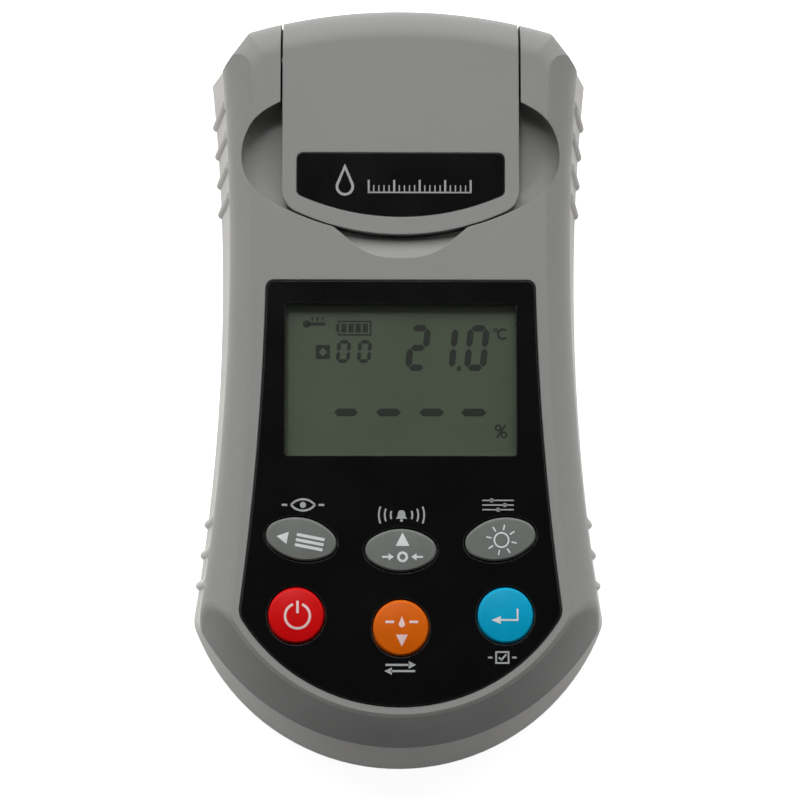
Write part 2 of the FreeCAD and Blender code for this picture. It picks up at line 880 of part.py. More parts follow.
def upper_housing():
    body = upper_form()
    hollow = upper_form(wall, ceiling)
    # the dish, the hinge trough, the shoulders and the case bosses keep their own walls
    kept = [dish_column(dish_wall), trough_keep()]
    ear = lid_width / 2 + lid_gap
    for side in (-1, 1):
        x = side * (ear + ear_thickness / 2)
        kept.append(box(x - ear_thickness / 2, x + ear_thickness / 2,
                        hinge_y - hinge_room, lid_back_y, parting_height, face_height))
    for x, y in screw_places():
        kept.append(disc(boss_radius, face_height - parting_height, x, y, parting_height))
    for x, y in post_places:
        kept.append(disc(post_radius, ceiling + past - board_top, x, y, board_top))
    for shape in kept:
        hollow = hollow.cut(shape)
    body = body.cut(hollow)
    # openings in the outside
    body = body.cut(dish())
    body = body.cut(thumb_notch())
    body = body.cut(lid_slot())
    body = body.cut(barrel(lid_width / 2 + lid_gap, hinge_clearance))
    body = body.cut(panel_plan(panel_play, panel_floor, face_height + past_case))
    body = body.cut(window_block(window_margin, ceiling - past, face_height))
    for hole in key_holes(ceiling - past, face_height):
        body = body.cut(hole)
    body = body.cut(disc(well_barrel_radius + well_hole_clearance, 2 * dish_depth,
                         0, well_y, dish_floor - dish_depth))
    body = body.cut(pin_rod(pin_radius + pin_press_clearance, far_out))
    for x, y in screw_places():
        body = body.cut(disc(screw_radius - screw_clearance, screw_hole_in_upper_case,
                             x, y, parting_height))
    for x, y in post_places:
        body = body.cut(disc(post_hole_radius, board_screw_depth, x, y, board_top))
    return body.removeSplitter()


def pin_rod(radius, half_length):
    """A round rod on the hinge line."""
    return Part.makeCylinder(radius, 2 * half_length, V(-half_length, hinge_y, hinge_height), RIGHT)


def lid_slot():
    """Room for the lid between the shoulders, down to just below its skirt."""
    half = lid_width / 2 + lid_gap
    bottom = face_height - lid_skirt_depth - hinge_clearance
    return box(-half, half, dish_y, lid_back_y + past_case, bottom, face_height + past_case)


# Lower case

def rib(x_top, x_bottom, y):
    """A grip bead that follows the flared wall, cut level at both ends."""
    bottom = V(x_bottom, y, underside)
    along = V(x_top, y, parting_height).sub(bottom)
    rod = Part.makeCylinder(rib_radius, along.Length, bottom, along)
    return rod.common(box(-far_out, far_out, -far_out, far_out, widest_height, rib_top))


def grip_ribs():
    places = [base_back_y - rib_first_back - i * rib_pitch_back for i in range(rib_count_back)]
    places += [base_front_y + rib_first_front + i * rib_pitch_front
               for i in range(rib_count_front)]
    out = rib_standout - rib_radius
    ribs = []
    for y in places:
        x_top = side_x("parting", y) + out
        x_base = side_x("base", y) + out
        slope = (x_base - x_top) / (parting_height - widest_height)
        x_bottom = x_base + slope * (widest_height - underside)
        for side in (-1, 1):
            ribs.append(rib(side * x_top, side * x_bottom, y))
    return ribs


def lower_housing():
    body = lower_form()
    hollow = lower_form(wall, floor_top)
    kept = [trough_keep()]
    for x, y in screw_places():
        kept.append(disc(boss_radius, parting_height - underside, x, y, underside))
    kept.append(box(-bay_half_width - bay_wall, bay_half_width + bay_wall,
                    bay_front_y - bay_wall, bay_back_y + bay_wall, underside, bay_top + bay_wall))
    for shape in kept:
        hollow = hollow.cut(shape)
    body = fused([body] + grip_ribs())
    body = body.cut(hollow)
    body = body.cut(barrel(lid_width / 2 + lid_gap, hinge_clearance))
    body = body.cut(box(-bay_half_width, bay_half_width, bay_front_y, bay_back_y,
                        underside, bay_top))
    # door channel with a groove along each side, open at the front
    body = body.cut(box(-door_half_width - door_gap, door_half_width + door_gap,
                        base_front_y - past_case, door_back_y + door_gap,
                        underside - past, door_top + door_gap))
    groove = door_half_width + door_tongue + door_gap
    body = body.cut(box(-groove, groove, base_front_y - past_case, door_back_y + door_gap,
                        underside + door_tongue_level - door_gap,
                        underside + door_tongue_level + door_tongue_thickness + door_gap))
    for x, y in screw_places():
        body = body.cut(disc(screw_radius + screw_clearance, parting_height, x, y, underside))
        body = body.cut(disc(screw_head_radius + screw_head_clearance, screw_pocket_depth,
                             x, y, underside))
    for x, y in foot_places():
        body = body.cut(disc(foot_radius + foot_clearance, foot_recess, x, y, underside))
    for x in cell_places():
        body = body.cut(box(x - contact_slot_half_width, x + contact_slot_half_width,
                            bay_back_y - bay_wall, bay_back_y + 2 * bay_wall,
                            cell_z + contact_slot_level,
                            cell_z + contact_slot_level + contact_slot_height))
    return body.removeSplitter()


def battery_door():
    """Sliding door with a tongue along each side and finger grooves."""
    region = box(-door_half_width, door_half_width, base_front_y - past_case, door_back_y,
                 underside - past, door_top)
    plate = lower_form().common(region)
    tongue_half = door_half_width + door_tongue
    tongues = box(-tongue_half, tongue_half, bay_front_y, door_back_y,
                  underside + door_tongue_level,
                  underside + door_tongue_level + door_tongue_thickness)
    plate = plate.fuse(tongues).removeSplitter()
    first = bay_front_y + grip_from_bay_front
    level_below = underside + grip_groove_depth - grip_groove_radius
    for i in range(grip_groove_count):
        y = first + i * grip_groove_pitch
        half = grip_groove_half_length - i * grip_groove_step
        plate = plate.cut(Part.makeCylinder(grip_groove_radius, 2 * half,
                                            V(-half, y, level_below), RIGHT))
    return plate


# Lid

def lid_cover():
    """Flip lid cut from the case form, with a rolled back that turns about the pin."""
    half = lid_width / 2
    bottom = face_height - lid_skirt_depth
    over = face_height + past
    form = upper_form()
    behind = lid_back_y + past_case
    outer = form.common(lid_plan(0, bottom, over, behind))
    low = hinge_height - 2 * hinge_reach
    rolled = barrel(half, -lid_seam).common(box(-half, half, hinge_y, behind, low, hinge_height))
    # the roll ends on a sloping line under the pin
    below = box(-half - past, half + past, -far_out, lid_back_y, -far_out, 0)
    below.rotate(V(0, 0, 0), RIGHT, -math.degrees(skirt_drop_angle))
    below.translate(V(0, hinge_y, hinge_height))
    rolled = rolled.cut(below)
    upper_back = form.common(box(-half, half, hinge_y, behind, hinge_height, over))
    pivot = pin_rod(hinge_barrel_radius, half)
    body = fused([outer, rolled, upper_back, pivot])
    # hollow underside, with a deeper rim at the lip and ribs at the pin
    skin = face_height - lid_skin
    body = body.cut(lid_plan(-lid_rim, bottom - past, skin,
                             hinge_y - hinge_barrel_radius - barrel_margin))
    undercut = lid_plan(past, bottom - past, face_height - lid_lip_depth, dish_y)
    undercut = undercut.cut(box(-half - 2 * past, half + 2 * past,
                                lid_front_y + lid_rim_at_lip, behind,
                                bottom - 2 * past, face_height))
    body = body.cut(undercut)
    hollow = barrel(half - lid_rim, -lid_skin).common(
        box(-half, half, hinge_y - past, lid_back_y, low, skin))
    hollow = hollow.cut(pivot)
    for x in (-barrel_rib_x, barrel_rib_x):
        hollow = hollow.cut(box(x - barrel_rib_thickness / 2, x + barrel_rib_thickness / 2,
                                hinge_y - hinge_reach, lid_back_y, low, face_height))
    body = body.cut(hollow)
    body = body.cut(label_plan(label_play, face_height - label_thickness, over))
    body = body.cut(pin_rod(pin_radius + pin_running_clearance, far_out))
    return body.removeSplitter()


def label_plan(grow, z0, z1):
    """Label plate with a straight back edge and a round front edge that follows the lip."""
    half = label_width / 2 + grow
    front = lid_front_y + label_margin - grow
    radius = label_radius + grow
    back = front + label_length + 2 * grow
    side_front = front + radius - math.sqrt(radius ** 2 - half ** 2)
    wire = closed([line(V(-half, back, z0), V(half, back, z0)),
                   line(V(half, back, z0), V(half, side_front, z0)),
                   arc(V(half, side_front, z0), V(0, front, z0), V(-half, side_front, z0)),
                   line(V(-half, side_front, z0), V(-half, back, z0))])
    plate = prism(wire, z1 - z0)
    uprights = [edge for edge in plate.Edges if edge.BoundBox.ZLength > (z1 - z0) / 2]
    return plate.makeFillet(label_corner, uprights)


def lid_label():
    return label_plan(0, face_height - label_thickness, face_height - label_recess)


def light_shield():
    """Black plate under the lid that carries the seal ring."""
    top = face_height - lid_skin
    return lid_plan(-shield_margin, top - shield_thickness, top, shield_back_y)


def seal_ring():
    """Soft ring that closes round the sample well."""
    top = face_height - lid_skin - shield_thickness
    bottom = dish_floor + seat_gap
    inner = well_flange_radius + seat_gap
    ring = disc(inner + seal_width, top - bottom, 0, well_y, bottom)
    ring = ring.cut(disc(inner, top - bottom + 2 * past, 0, well_y, bottom - past))
    return ring.makeChamfer(seal_chamfer, edges_at(ring, bottom))


def hinge_pin():
    pin = pin_rod(pin_radius, pin_half_length)
    return pin.makeChamfer(pin_chamfer, pin.Edges)


# Front panel and display

def front_panel():
    plate = panel_plan(0, panel_floor, panel_top)
    plate = plate.makeChamfer(panel_edge_chamfer, edges_at(plate, panel_top))
    plate = plate.cut(window_block(0, panel_floor - past, panel_top + past))
    for hole in key_holes(panel_floor - past, panel_top + past):
        plate = plate.cut(hole)
    return plate


def window_block(grow, z0, z1):
    return rounded_box(-window_width / 2 - grow, window_width / 2 + grow,
                       window_y - window_length / 2 - grow, window_y + window_length / 2 + grow,
                       z0, z1, window_corner)


def display_window():
    """Clear window flush in the panel, with a wider flange behind it."""
    pane = window_block(-lens_play, panel_floor, panel_top - lens_recess)
    flange = window_block(lens_flange, panel_floor - lens_flange_thickness, panel_floor)
    return pane.fuse(flange).removeSplitter()


def lcd_frame_box(grow, z0, z1):
    return box(-lcd_width / 2 - grow, lcd_width / 2 + grow,
               window_y - lcd_length / 2 - grow, window_y + lcd_length / 2 + grow, z0, z1)


def lcd_glass():
    """Two glass plates, the lower one longer to carry the contacts."""
    lower = lcd_frame_box(0, lcd_level, lcd_level + lcd_thickness / 2)
    upper = box(-lcd_width / 2, lcd_width / 2,
                window_y - lcd_length / 2 + lcd_ledge, window_y + lcd_length / 2,
                lcd_level + lcd_thickness / 2, lcd_level + lcd_thickness)
    return lower.fuse(upper).removeSplitter()


def lcd_backlight():
    inner = lcd_length / 2 - zebra_width - 2 * zebra_margin
    half = lcd_width / 2 - backlight_margin
    return box(-half, half, window_y - inner, window_y + inner,
               lcd_level - backlight_thickness, lcd_level)


def zebra_strips():
    strips = []
    half = lcd_width / 2 - zebra_end_margin
    for side in (-1, 1):
        middle = window_y + side * (lcd_length / 2 - zebra_width / 2 - zebra_margin)
        strips.append(box(-half, half,
                          middle - zebra_width / 2, middle + zebra_width / 2,
                          board_top, lcd_level))
    return Part.makeCompound(strips)


def lcd_holder():
    """Frame that holds the glass against the face and stands on the board."""
    frame = lcd_frame_box(holder_play + holder_wall, board_top, ceiling)
    outside = [edge for edge in frame.Edges if edge.BoundBox.ZLength > zebra_height]
    frame = frame.makeFillet(holder_corner, outside)
    return frame.cut(lcd_frame_box(holder_play, board_top - past, ceiling + past))


def main_board():
    half = board_half_width
    centre_y = board_front_y + board_front_radius
    corner_y = centre_y - math.sqrt(board_front_radius ** 2 - half ** 2)
    z = board_level
    wire = closed([line(V(-half, board_back_y, z), V(half, board_back_y, z)),
                   line(V(half, board_back_y, z), V(half, corner_y, z)),
                   arc(V(half, corner_y, z), V(0, board_front_y, z), V(-half, corner_y, z)),
                   line(V(-half, corner_y, z), V(-half, board_back_y, z))])
    board = prism(wire, board_thickness)
    for x, y in post_places:
        board = board.cut(disc(board_hole_radius, board_thickness + 2 * past, x, y,
                               board_level - past))
    return board


def board_parts():
    """Chips and parts soldered under the main board: place from the window, then size."""
    chips = [(0, -12, 12, 12, 1.6), (-16, -30, 8, 6, 1.5), (14, -30, 6, 6, 1.4),
             (-15, 8, 5, 3, 1.2), (-4, 12, 4, 2.5, 1.2), (0, -44, 7, 4, 1.6)]
    return Part.makeCompound([
        box(x - width / 2, x + width / 2, window_y + y - length / 2, window_y + y + length / 2,
            board_level - height, board_level)
        for x, y, width, length, height in chips])


def buzzer():
    y = window_y + buzzer_from_window
    bottom = board_level - buzzer_height
    shell = disc(buzzer_radius, buzzer_height, buzzer_x, y, bottom)
    return shell.cut(disc(buzzer_hole_radius, buzzer_hole_depth, buzzer_x, y, bottom))


def keypad_mat():
    """Rubber sheet on the board with a raised dome under each key."""
    half = board_half_width - mat_margin
    front = board_front_y + mat_margin
    radius = board_front_radius - mat_margin
    back = post_places[1][1] - post_radius - mat_margin
    corner_y = front + radius - math.sqrt(radius ** 2 - half ** 2)
    z = board_top
    wire = closed([line(V(-half, back, z), V(half, back, z)),
                   line(V(half, back, z), V(half, corner_y, z)),
                   arc(V(half, corner_y, z), V(0, front, z), V(-half, corner_y, z)),
                   line(V(-half, corner_y, z), V(-half, back, z))])
    sheet = prism(wire, mat_thickness)
    dome_top = key_stem_bottom - key_travel - dome_gap
    shapes = [sheet]
    for a, b, x, y, tilt in key_list().values():
        shapes.append(Part.makeCone(dome_radius, dome_top_radius,
                                    dome_top - board_top - mat_thickness / 2,
                                    V(x, y, board_top + mat_thickness / 2)))
    mat = fused(shapes)
    for a, b, x, y, tilt in key_list().values():
        mat = mat.cut(pad(contact_half + contact_play, contact_height + seat_gap, x, y))
    return mat


def pad(half, height, x, y):
    """A square block on the main board."""
    return box(x - half, x + half, y - half, y + half, board_top, board_top + height)


def key_contacts():
    return Part.makeCompound([pad(contact_half, contact_height, x, y)
                              for a, b, x, y, tilt in key_list().values()])


def board_screws():
    shapes = []
    for x, y in post_places:
        head = disc(board_screw_head_radius, board_screw_head_height,
                    x, y, board_level - board_screw_head_height)
        shank = disc(post_hole_radius - screw_thread_grip,
                     board_thickness + board_screw_depth - seat_gap, x, y, board_level)
        shapes.append(head.fuse(shank))
    return Part.makeCompound(shapes)


# Sample well and optics

def sample_well():
    """Polished steel funnel that holds the sample above the prism."""
    top = dish_floor + well_flange_height
    profile = Part.makePolygon([
        V(well_bottom_radius, 0, well_bottom),
        V(well_barrel_radius, 0, well_bottom),
        V(well_barrel_radius, 0, dish_floor),
        V(well_flange_radius, 0, dish_floor),
        V(well_flange_radius - well_edge, 0, top),
        V(well_mouth_radius, 0, top),
        V(well_bottom_radius, 0, well_floor),
        V(well_bottom_radius, 0, well_bottom)])
    ring = Part.Face(profile).revolve(V(0, 0, 0), UP, 360)
    ring.translate(V(0, well_y, 0))
    return ring


def sample_prism():
    """Glass prism under the well with two sloping faces for the light."""
    top = well_bottom - prism_seat_gap - prism_seal_thickness
    foot = top - prism_height
    body = disc(prism_radius, prism_height, 0, well_y, foot)
    neck = disc(well_bottom_radius - prism_neck_clearance, prism_top - top, 0, well_y, top)
    body = body.fuse(neck)
    for side in (-1, 1):
        facet = box(0, far_out, -far_out, far_out, -far_out, far_out)
        facet.rotate(V(0, 0, 0), V(0, 1, 0), math.degrees(light_tilt))
        if side < 0:
            facet = facet.mirror(V(0, 0, 0), RIGHT)
        facet.translate(V(side * prism_facet_from_axis, well_y, foot + prism_facet_rise))
        body = body.cut(facet)
    return body.removeSplitter()


def prism_seal():
    """Rubber ring between the prism's shoulder and the well."""
    bottom = well_bottom - prism_seal_gap - prism_seal_thickness
    ring = disc(prism_radius - prism_side_clearance, prism_seal_thickness, 0, well_y, bottom)
    return ring.cut(disc(well_bottom_radius + prism_seal_clearance, 2 * prism_height,
                         0, well_y, bottom - prism_height))


def light_axis(side):
    """Start and direction of a light bore, from the prism outward and down."""
    start = V(0, well_y, optic_z)
    return start, V(side * math.cos(light_tilt), 0, -math.sin(light_tilt))


def optical_block():
    """Black block that carries the well, the prism and both light bores."""
    body = rounded_box(-block_half_width, block_half_width, block_front_y, block_back_y,
                       block_bottom, block_top, block_corner)
    body = body.cut(Part.makeCylinder(hinge_reach + hinge_clearance + dish_wall + seat_gap,
                                      2 * block_half_width, V(-block_half_width, hinge_y,
                                                              hinge_height), RIGHT))
    body = body.cut(disc(prism_radius + prism_side_clearance, 2 * block_height, 0, well_y,
                         prism_top - prism_height - block_below_prism))
    for side in (-1, 1):
        start, direction = light_axis(side)
        body = body.cut(Part.makeCylinder(light_bore_radius, 2 * block_half_width,
                                          start, direction))
    return body


def on_light_axis(side, distance, radius, length):
    start, direction = light_axis(side)
    place = start.add(V(direction.x * distance, 0, direction.z * distance))
    return Part.makeCylinder(radius, length, place, direction)


def light_source():
    """Round lamp with a rim, a barrel and a domed tip at the left end of its bore."""
    shoulder = led_rim_thickness
    base_of_tip = led_length
    flat = led_radius / 8
    top = base_of_tip + math.sqrt(led_radius ** 2 - flat ** 2)
    middle = led_radius / math.sqrt(2)
    profile = Part.Wire([line(V(0, 0, 0), V(lens_radius, 0, 0)),
                         line(V(lens_radius, 0, 0), V(lens_radius, 0, shoulder)),
                         line(V(lens_radius, 0, shoulder), V(led_radius, 0, shoulder)),
                         line(V(led_radius, 0, shoulder), V(led_radius, 0, base_of_tip)),
                         arc(V(led_radius, 0, base_of_tip), V(middle, 0, base_of_tip + middle),
                             V(flat, 0, top)),
                         line(V(flat, 0, top), V(0, 0, top)),
                         line(V(0, 0, top), V(0, 0, 0))])
    lamp = Part.Face(profile).revolve(V(0, 0, 0), UP, 360)
    start, direction = light_axis(-1)
    lamp.rotate(V(0, 0, 0), V(0, 1, 0), 90 - math.degrees(light_tilt))
    reach = led_distance + led_length
    lamp.translate(start.add(V(direction.x * reach, 0, direction.z * reach)))
    return lamp


def bore_lens(side):
    """Plano-convex lens in a light bore."""
    body = on_light_axis(side, lens_distance, lens_radius, lens_thickness)
    start, direction = light_axis(side)
    reach = lens_distance - lens_edge_inset + lens_ball_radius
    centre = start.add(V(direction.x * reach, 0, direction.z * reach))
    return body.common(Part.makeSphere(lens_ball_radius, centre))


def sensor_distance():
    return block_half_width / math.cos(light_tilt) + sensor_past_block


def sensor_slab(distance, size_y, size_z, thickness):
    """Flat plate square to the right-hand light bore."""
    half_y = size_y / 2
    half_z = size_z / 2
    slab = box(0, thickness, -half_y, half_y, -half_z, half_z)
    slab.rotate(V(0, 0, 0), V(0, 1, 0), math.degrees(light_tilt))
    start, direction = light_axis(1)
    slab.translate(start.add(V(direction.x * distance, 0, direction.z * distance)))
    return slab


def case_screw_set():
    """Four screws that hold the halves together from below."""
    shapes = []
    seat = underside + screw_pocket_depth
    for x, y in screw_places():
        head = disc(screw_head_radius, screw_head_height, x, y, seat - screw_head_height)
        shank = disc(screw_radius - screw_clearance - screw_thread_grip,
                     parting_height + screw_in_upper_case - seat, x, y, seat)
        screw = head.fuse(shank)
        low = seat - screw_head_height
        for across, along in ((cross_half_length, cross_half_width),
                              (cross_half_width, cross_half_length)):
            screw = screw.cut(box(x - across, x + across, y - along, y + along,
                                  low - past, low + cross_depth))
        shapes.append(screw)
    return Part.makeCompound(shapes)


def rubber_feet():
    shapes = []
    for x, y in foot_places():
        foot = disc(foot_radius, foot_height + foot_recess, x, y, 0)
        shapes.append(foot.makeChamfer(foot_chamfer, edges_at(foot, 0)))
    return Part.makeCompound(shapes)


# Batteries and their contacts

def cell_places():
    first = -(cell_count - 1) * cell_pitch / 2
    return [first + i * cell_pitch for i in range(cell_count)]


def battery_cells():
    """Cells side by side, every second one turned round."""
    shapes = []
    start = bay_front_y + contact_thickness + cell_end_play
    for i, x in enumerate(cell_places()):
        forward = i % 2 == 0
        if forward:
            low = start + spring_room - contact_thickness - cell_nub_length
            nub_y = low + cell_length
        else:
            low = start + cell_nub_length
            nub_y = low - cell_nub_length
        body = Part.makeCylinder(cell_radius, cell_length, V(x, low, cell_z), V(0, 1, 0))
        nub = Part.makeCylinder(cell_nub_radius, cell_nub_length, V(x, nub_y, cell_z), V(0, 1, 0))
        shapes.append(body.fuse(nub))
    return Part.makeCompound(shapes)


def battery_contacts():
    """Plates at both ends of the bay that link the cells in series."""
    xs = cell_places()
    front = [(i, i + 1) for i in range(0, cell_count - 1, 2)]
    back = [(0, 0)] + [(i, i + 1) for i in range(1, cell_count - 1, 2)]
    back.append((cell_count - 1, cell_count - 1))
    plates = []
    for y, spans in ((bay_front_y, front), (bay_back_y - contact_thickness, back)):
        for first, last in spans:
            plates.append(box(xs[first] - contact_half_width, xs[last] + contact_half_width,
                              y, y + contact_thickness,
                              cell_z - contact_half_height, cell_z + contact_half_height))
    return Part.makeCompound(plates)


def battery_springs():
    """Bent leaf spring at the flat end of each cell."""
    shapes = []
    depth = spring_room - leaf_play - contact_thickness
    back = leaf_back_share * depth
    t = leaf_thickness
    rise = leaf_rise
    for i, x in enumerate(cell_places()):
        leaf = Part.makePolygon([V(0, 0, -rise), V(0, depth, 0), V(0, back, rise),
                                 V(0, back - t, rise), V(0, depth - leaf_tip_thickening * t, 0),
                                 V(0, t, t - rise), V(0, 0, t - rise), V(0, 0, -rise)])
        spring = Part.Face(leaf).extrude(V(leaf_width, 0, 0))
        spring.translate(V(-leaf_width / 2, 0, 0))
        y = bay_front_y + contact_thickness
        if i % 2:
            spring.rotate(V(0, 0, 0), UP, 180)
            y = bay_back_y - contact_thickness
        spring.translate(V(x, y, cell_z))
        shapes.append(spring)
    return Part.makeCompound(shapes)


# Write every sub-part

def parts():
    sub_parts = {
        "upper_housing": upper_housing(),
        "lower_housing": lower_housing(),
        "battery_door": battery_door(),
        "lid_cover": lid_cover(),
        "lid_label_plate": lid_label(),
        "lid_light_shield": light_shield(),
        "lid_seal_ring": seal_ring(),
        "hinge_pin": hinge_pin(),
        "front_panel": front_panel(),
        "display_window": display_window(),
        "lcd_glass": lcd_glass(),
        "lcd_backlight": lcd_backlight(),
        "lcd_zebra_strips": zebra_strips(),
        "lcd_holder": lcd_holder(),
        "main_board": main_board(),
        "board_parts": board_parts(),
        "board_screws": board_screws(),
        "buzzer": buzzer(),
        "keypad_mat": keypad_mat(),
        "key_contacts": key_contacts(),
        "sample_well": sample_well(),
        "sample_prism": sample_prism(),
        "prism_seal": prism_seal(),
        "optical_block": optical_block(),
        "light_source": light_source(),
        "condenser_lens": bore_lens(-1),
        "focusing_lens": bore_lens(1),
        "sensor_board": sensor_slab(sensor_distance(), sensor_board_size, sensor_board_size,
                                    sensor_board_thickness),
        "linear_sensor": sensor_slab(sensor_distance() - sensor_thickness, sensor_length,
                                     sensor_width, sensor_thickness),
        "battery_cells": battery_cells(),
        "battery_contacts": battery_contacts(),
        "battery_springs": battery_springs(),
        "case_screws": case_screw_set(),
        "rubber_feet": rubber_feet(),
    }
    for name, values in key_list().items():
        sub_parts[name] = key(*values)
    return sub_parts


os.makedirs("parts", exist_ok=True)
for node, shape in parts().items():
    shape.exportStep("parts/" + node + ".step")
    bounds = shape.BoundBox
    print(node, shape.isValid(), len(shape.Solids), round(shape.Volume, 1),
          "x %.2f %.2f y %.2f %.2f z %.2f %.2f" % (bounds.XMin, bounds.XMax, bounds.YMin,
                                                  bounds.YMax, bounds.ZMin, bounds.ZMax))
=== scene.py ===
import math

import bmesh
import bpy
from mathutils import Matrix, Vector

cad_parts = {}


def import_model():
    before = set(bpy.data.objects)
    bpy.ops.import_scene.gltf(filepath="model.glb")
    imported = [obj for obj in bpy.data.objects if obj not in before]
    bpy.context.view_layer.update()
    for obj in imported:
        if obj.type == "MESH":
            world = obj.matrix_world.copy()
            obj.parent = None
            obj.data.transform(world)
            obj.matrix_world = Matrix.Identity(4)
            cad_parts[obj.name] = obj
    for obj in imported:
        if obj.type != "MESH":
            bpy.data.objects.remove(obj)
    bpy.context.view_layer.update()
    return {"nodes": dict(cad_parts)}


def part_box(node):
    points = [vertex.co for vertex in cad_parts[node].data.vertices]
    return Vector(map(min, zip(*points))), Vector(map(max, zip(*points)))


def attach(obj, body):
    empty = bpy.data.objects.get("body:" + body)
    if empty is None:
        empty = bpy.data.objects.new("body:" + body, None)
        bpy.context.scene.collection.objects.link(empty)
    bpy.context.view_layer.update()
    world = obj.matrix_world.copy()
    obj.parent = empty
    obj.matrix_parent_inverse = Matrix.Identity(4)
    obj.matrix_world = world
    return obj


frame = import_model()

# Looks of the digital refractometer. The marks and the depths of grain are in millimetres and
# become metres through MM, the floor and its lamp are in metres.

MM = 0.001
nodes = frame["nodes"]


def node_box(name):
    """Lowest and highest corner of a node in millimetres."""
    low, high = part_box(name)
    return low / MM, high / MM


# Node trees

def scaled(colour, share, lift=0.0):
    """A colour made darker or lighter, with no channel above one."""
    return tuple(min(1.0, c * share + lift) for c in colour)


class Tree:
    """A node tree that is put together one node at a time."""

    def __init__(self, tree):
        self.tree = tree

    def add(self, kind, **values):
        """Adds a node; each value sets a property of it or the input of that name."""
        node = self.tree.nodes.new(kind)
        for key, value in values.items():
            if hasattr(node, key):
                setattr(node, key, value)
            else:
                node.inputs[key.replace("_", " ")].default_value = value
        return node

    def link(self, source, target):
        self.tree.links.new(source, target)

    def feed(self, socket, value):
        """Gives an input a number or the result of another node."""
        if isinstance(value, float):
            socket.default_value = value
        else:
            self.link(value, socket)

    def calculate(self, operation, first, second):
        node = self.add("ShaderNodeMath", operation=operation)
        self.feed(node.inputs[0], first)
        self.feed(node.inputs[1], second)
        return node.outputs["Value"]

    def axes(self, coordinates, kind):
        """The outputs X, Y and Z of a kind of texture coordinate."""
        split = self.add("ShaderNodeSeparateXYZ")
        self.link(coordinates.outputs[kind], split.inputs["Vector"])
        return split.outputs


class Look(Tree):
    """A material on a principled shader."""

    def __init__(self, name):
        self.material = bpy.data.materials.new(name)
        self.material.use_nodes = True
        super().__init__(self.material.node_tree)
        self.shader = self.tree.nodes["Principled BSDF"]
        self.output = self.tree.nodes["Material Output"]
        self.place = self.add("ShaderNodeTexCoord")

    def set(self, **values):
        for key, value in values.items():
            self.shader.inputs[key.replace("_", " ")].default_value = value

    def noise(self, scale, detail=4.0, roughness=0.55):
        """Noise in the piece's own coordinates; the scale counts its lumps in a metre."""
        node = self.add("ShaderNodeTexNoise", Scale=scale, Detail=detail, Roughness=roughness)
        self.link(self.place.outputs["Object"], node.inputs["Vector"])
        return node.outputs["Fac"]

    def ramp(self, factor, low, high, start=0.0, end=1.0):
        """Maps a factor from start..end to low..high."""
        node = self.add("ShaderNodeMapRange", From_Min=start, From_Max=end,
                        To_Min=low, To_Max=high)
        self.link(factor, node.inputs["Value"])
        return node.outputs["Result"]

    def mix(self, factor, first, second):
        """Mixes two colours, each a value or a socket."""
        node = self.add("ShaderNodeMix", data_type="RGBA")
        first_colour, second_colour, mixed = node.inputs[6], node.inputs[7], node.outputs[2]
        self.link(factor, node.inputs["Factor"])
        for socket, value in ((first_colour, first), (second_colour, second)):
            if isinstance(value, tuple):
                socket.default_value = (*value, 1.0)
            else:
                self.link(value, socket)
        return mixed

    def colour(self, base):
        self.link(base, self.shader.inputs["Base Color"])

    def roughness(self, factor, low, high, start=0.0, end=1.0):
        """Uneven gloss: the roughness follows a factor between low and high."""
        self.link(self.ramp(factor, low, high, start, end), self.shader.inputs["Roughness"])

    def bump(self, layers, rounding=0.0):
        """Stacks bump layers on edges that look rounded by a radius in millimetres.

        Each layer is a height socket, its strength and its depth in millimetres.
        """
        normal = None
        if rounding > 0:
            normal = self.add("ShaderNodeBevel", Radius=rounding * MM).outputs["Normal"]
        for height, strength, depth in layers:
            node = self.add("ShaderNodeBump", Strength=strength, Distance=depth * MM)
            self.link(height, node.inputs["Height"])
            if normal:
                self.link(normal, node.inputs["Normal"])
            normal = node.outputs["Normal"]
        self.link(normal, self.shader.inputs["Normal"])

    def edge(self, radius, low, high):
        """One on edges, nought elsewhere.

        The normal, averaged within a radius in millimetres, is compared with the face's own:
        a cosine of low or less counts as an edge, one of high or more as flat.
        """
        bevel = self.add("ShaderNodeBevel", Radius=radius * MM)
        geometry = self.add("ShaderNodeNewGeometry")
        dot = self.add("ShaderNodeVectorMath", operation="DOT_PRODUCT")
        self.link(bevel.outputs["Normal"], dot.inputs[0])
        self.link(geometry.outputs["Normal"], dot.inputs[1])
        return self.ramp(dot.outputs["Value"], 1.0, 0.0, low, high)


# Materials

def moulded(name, colour, variation, roughness, grain, grain_scale, grain_depth,
            wear_and_highlight=0.0, sheen=0.5):
    """Moulded plastic: cloudy colour, fine grain, uneven gloss and edges painted lighter, partly
    as wear and partly as a painted highlight.

    variation is how far the colour strays as a share of itself, grain the strength of the fine
    bump, the edge share how much lighter colour shows on edges, as wear and painted highlight,
    and sheen the specular level.
    """
    look = Look(name)
    clouds = look.ramp(look.noise(38.0, 5.0, 0.6), 0.35, 0.65, start=0.35, end=0.65)
    fine = look.noise(grain_scale, 3.0, 0.7)
    tone = look.calculate("ADD", clouds, look.ramp(fine, -0.5, 0.5, start=0.25, end=0.75))
    base = look.mix(tone, scaled(colour, 1 - variation), scaled(colour, 1 + variation))
    if wear_and_highlight > 0:
        # Edges are painted lighter in speckles: partly wear, partly a painted highlight along
        # rounded edges.
        speckle = look.ramp(look.noise(900.0, 3.0), 0.0, wear_and_highlight, start=0.45, end=0.7)
        wear_and_edge_highlight = look.calculate("MULTIPLY", look.edge(radius=0.35, low=0.90, high=0.995), speckle)
        base = look.mix(wear_and_edge_highlight, base, scaled(colour, 1.9))
    look.colour(base)
    smudge = look.noise(120.0, 6.0, 0.65)
    look.roughness(smudge, roughness - 0.03, roughness + 0.04, start=0.3, end=0.7)
    wave = look.noise(22.0, 2.0, 0.4)
    look.bump([(fine, grain, grain_depth), (wave, 0.08, 0.5)], rounding=0.3)
    look.set(IOR=1.5, Specular_IOR_Level=sheen)
    return look.material


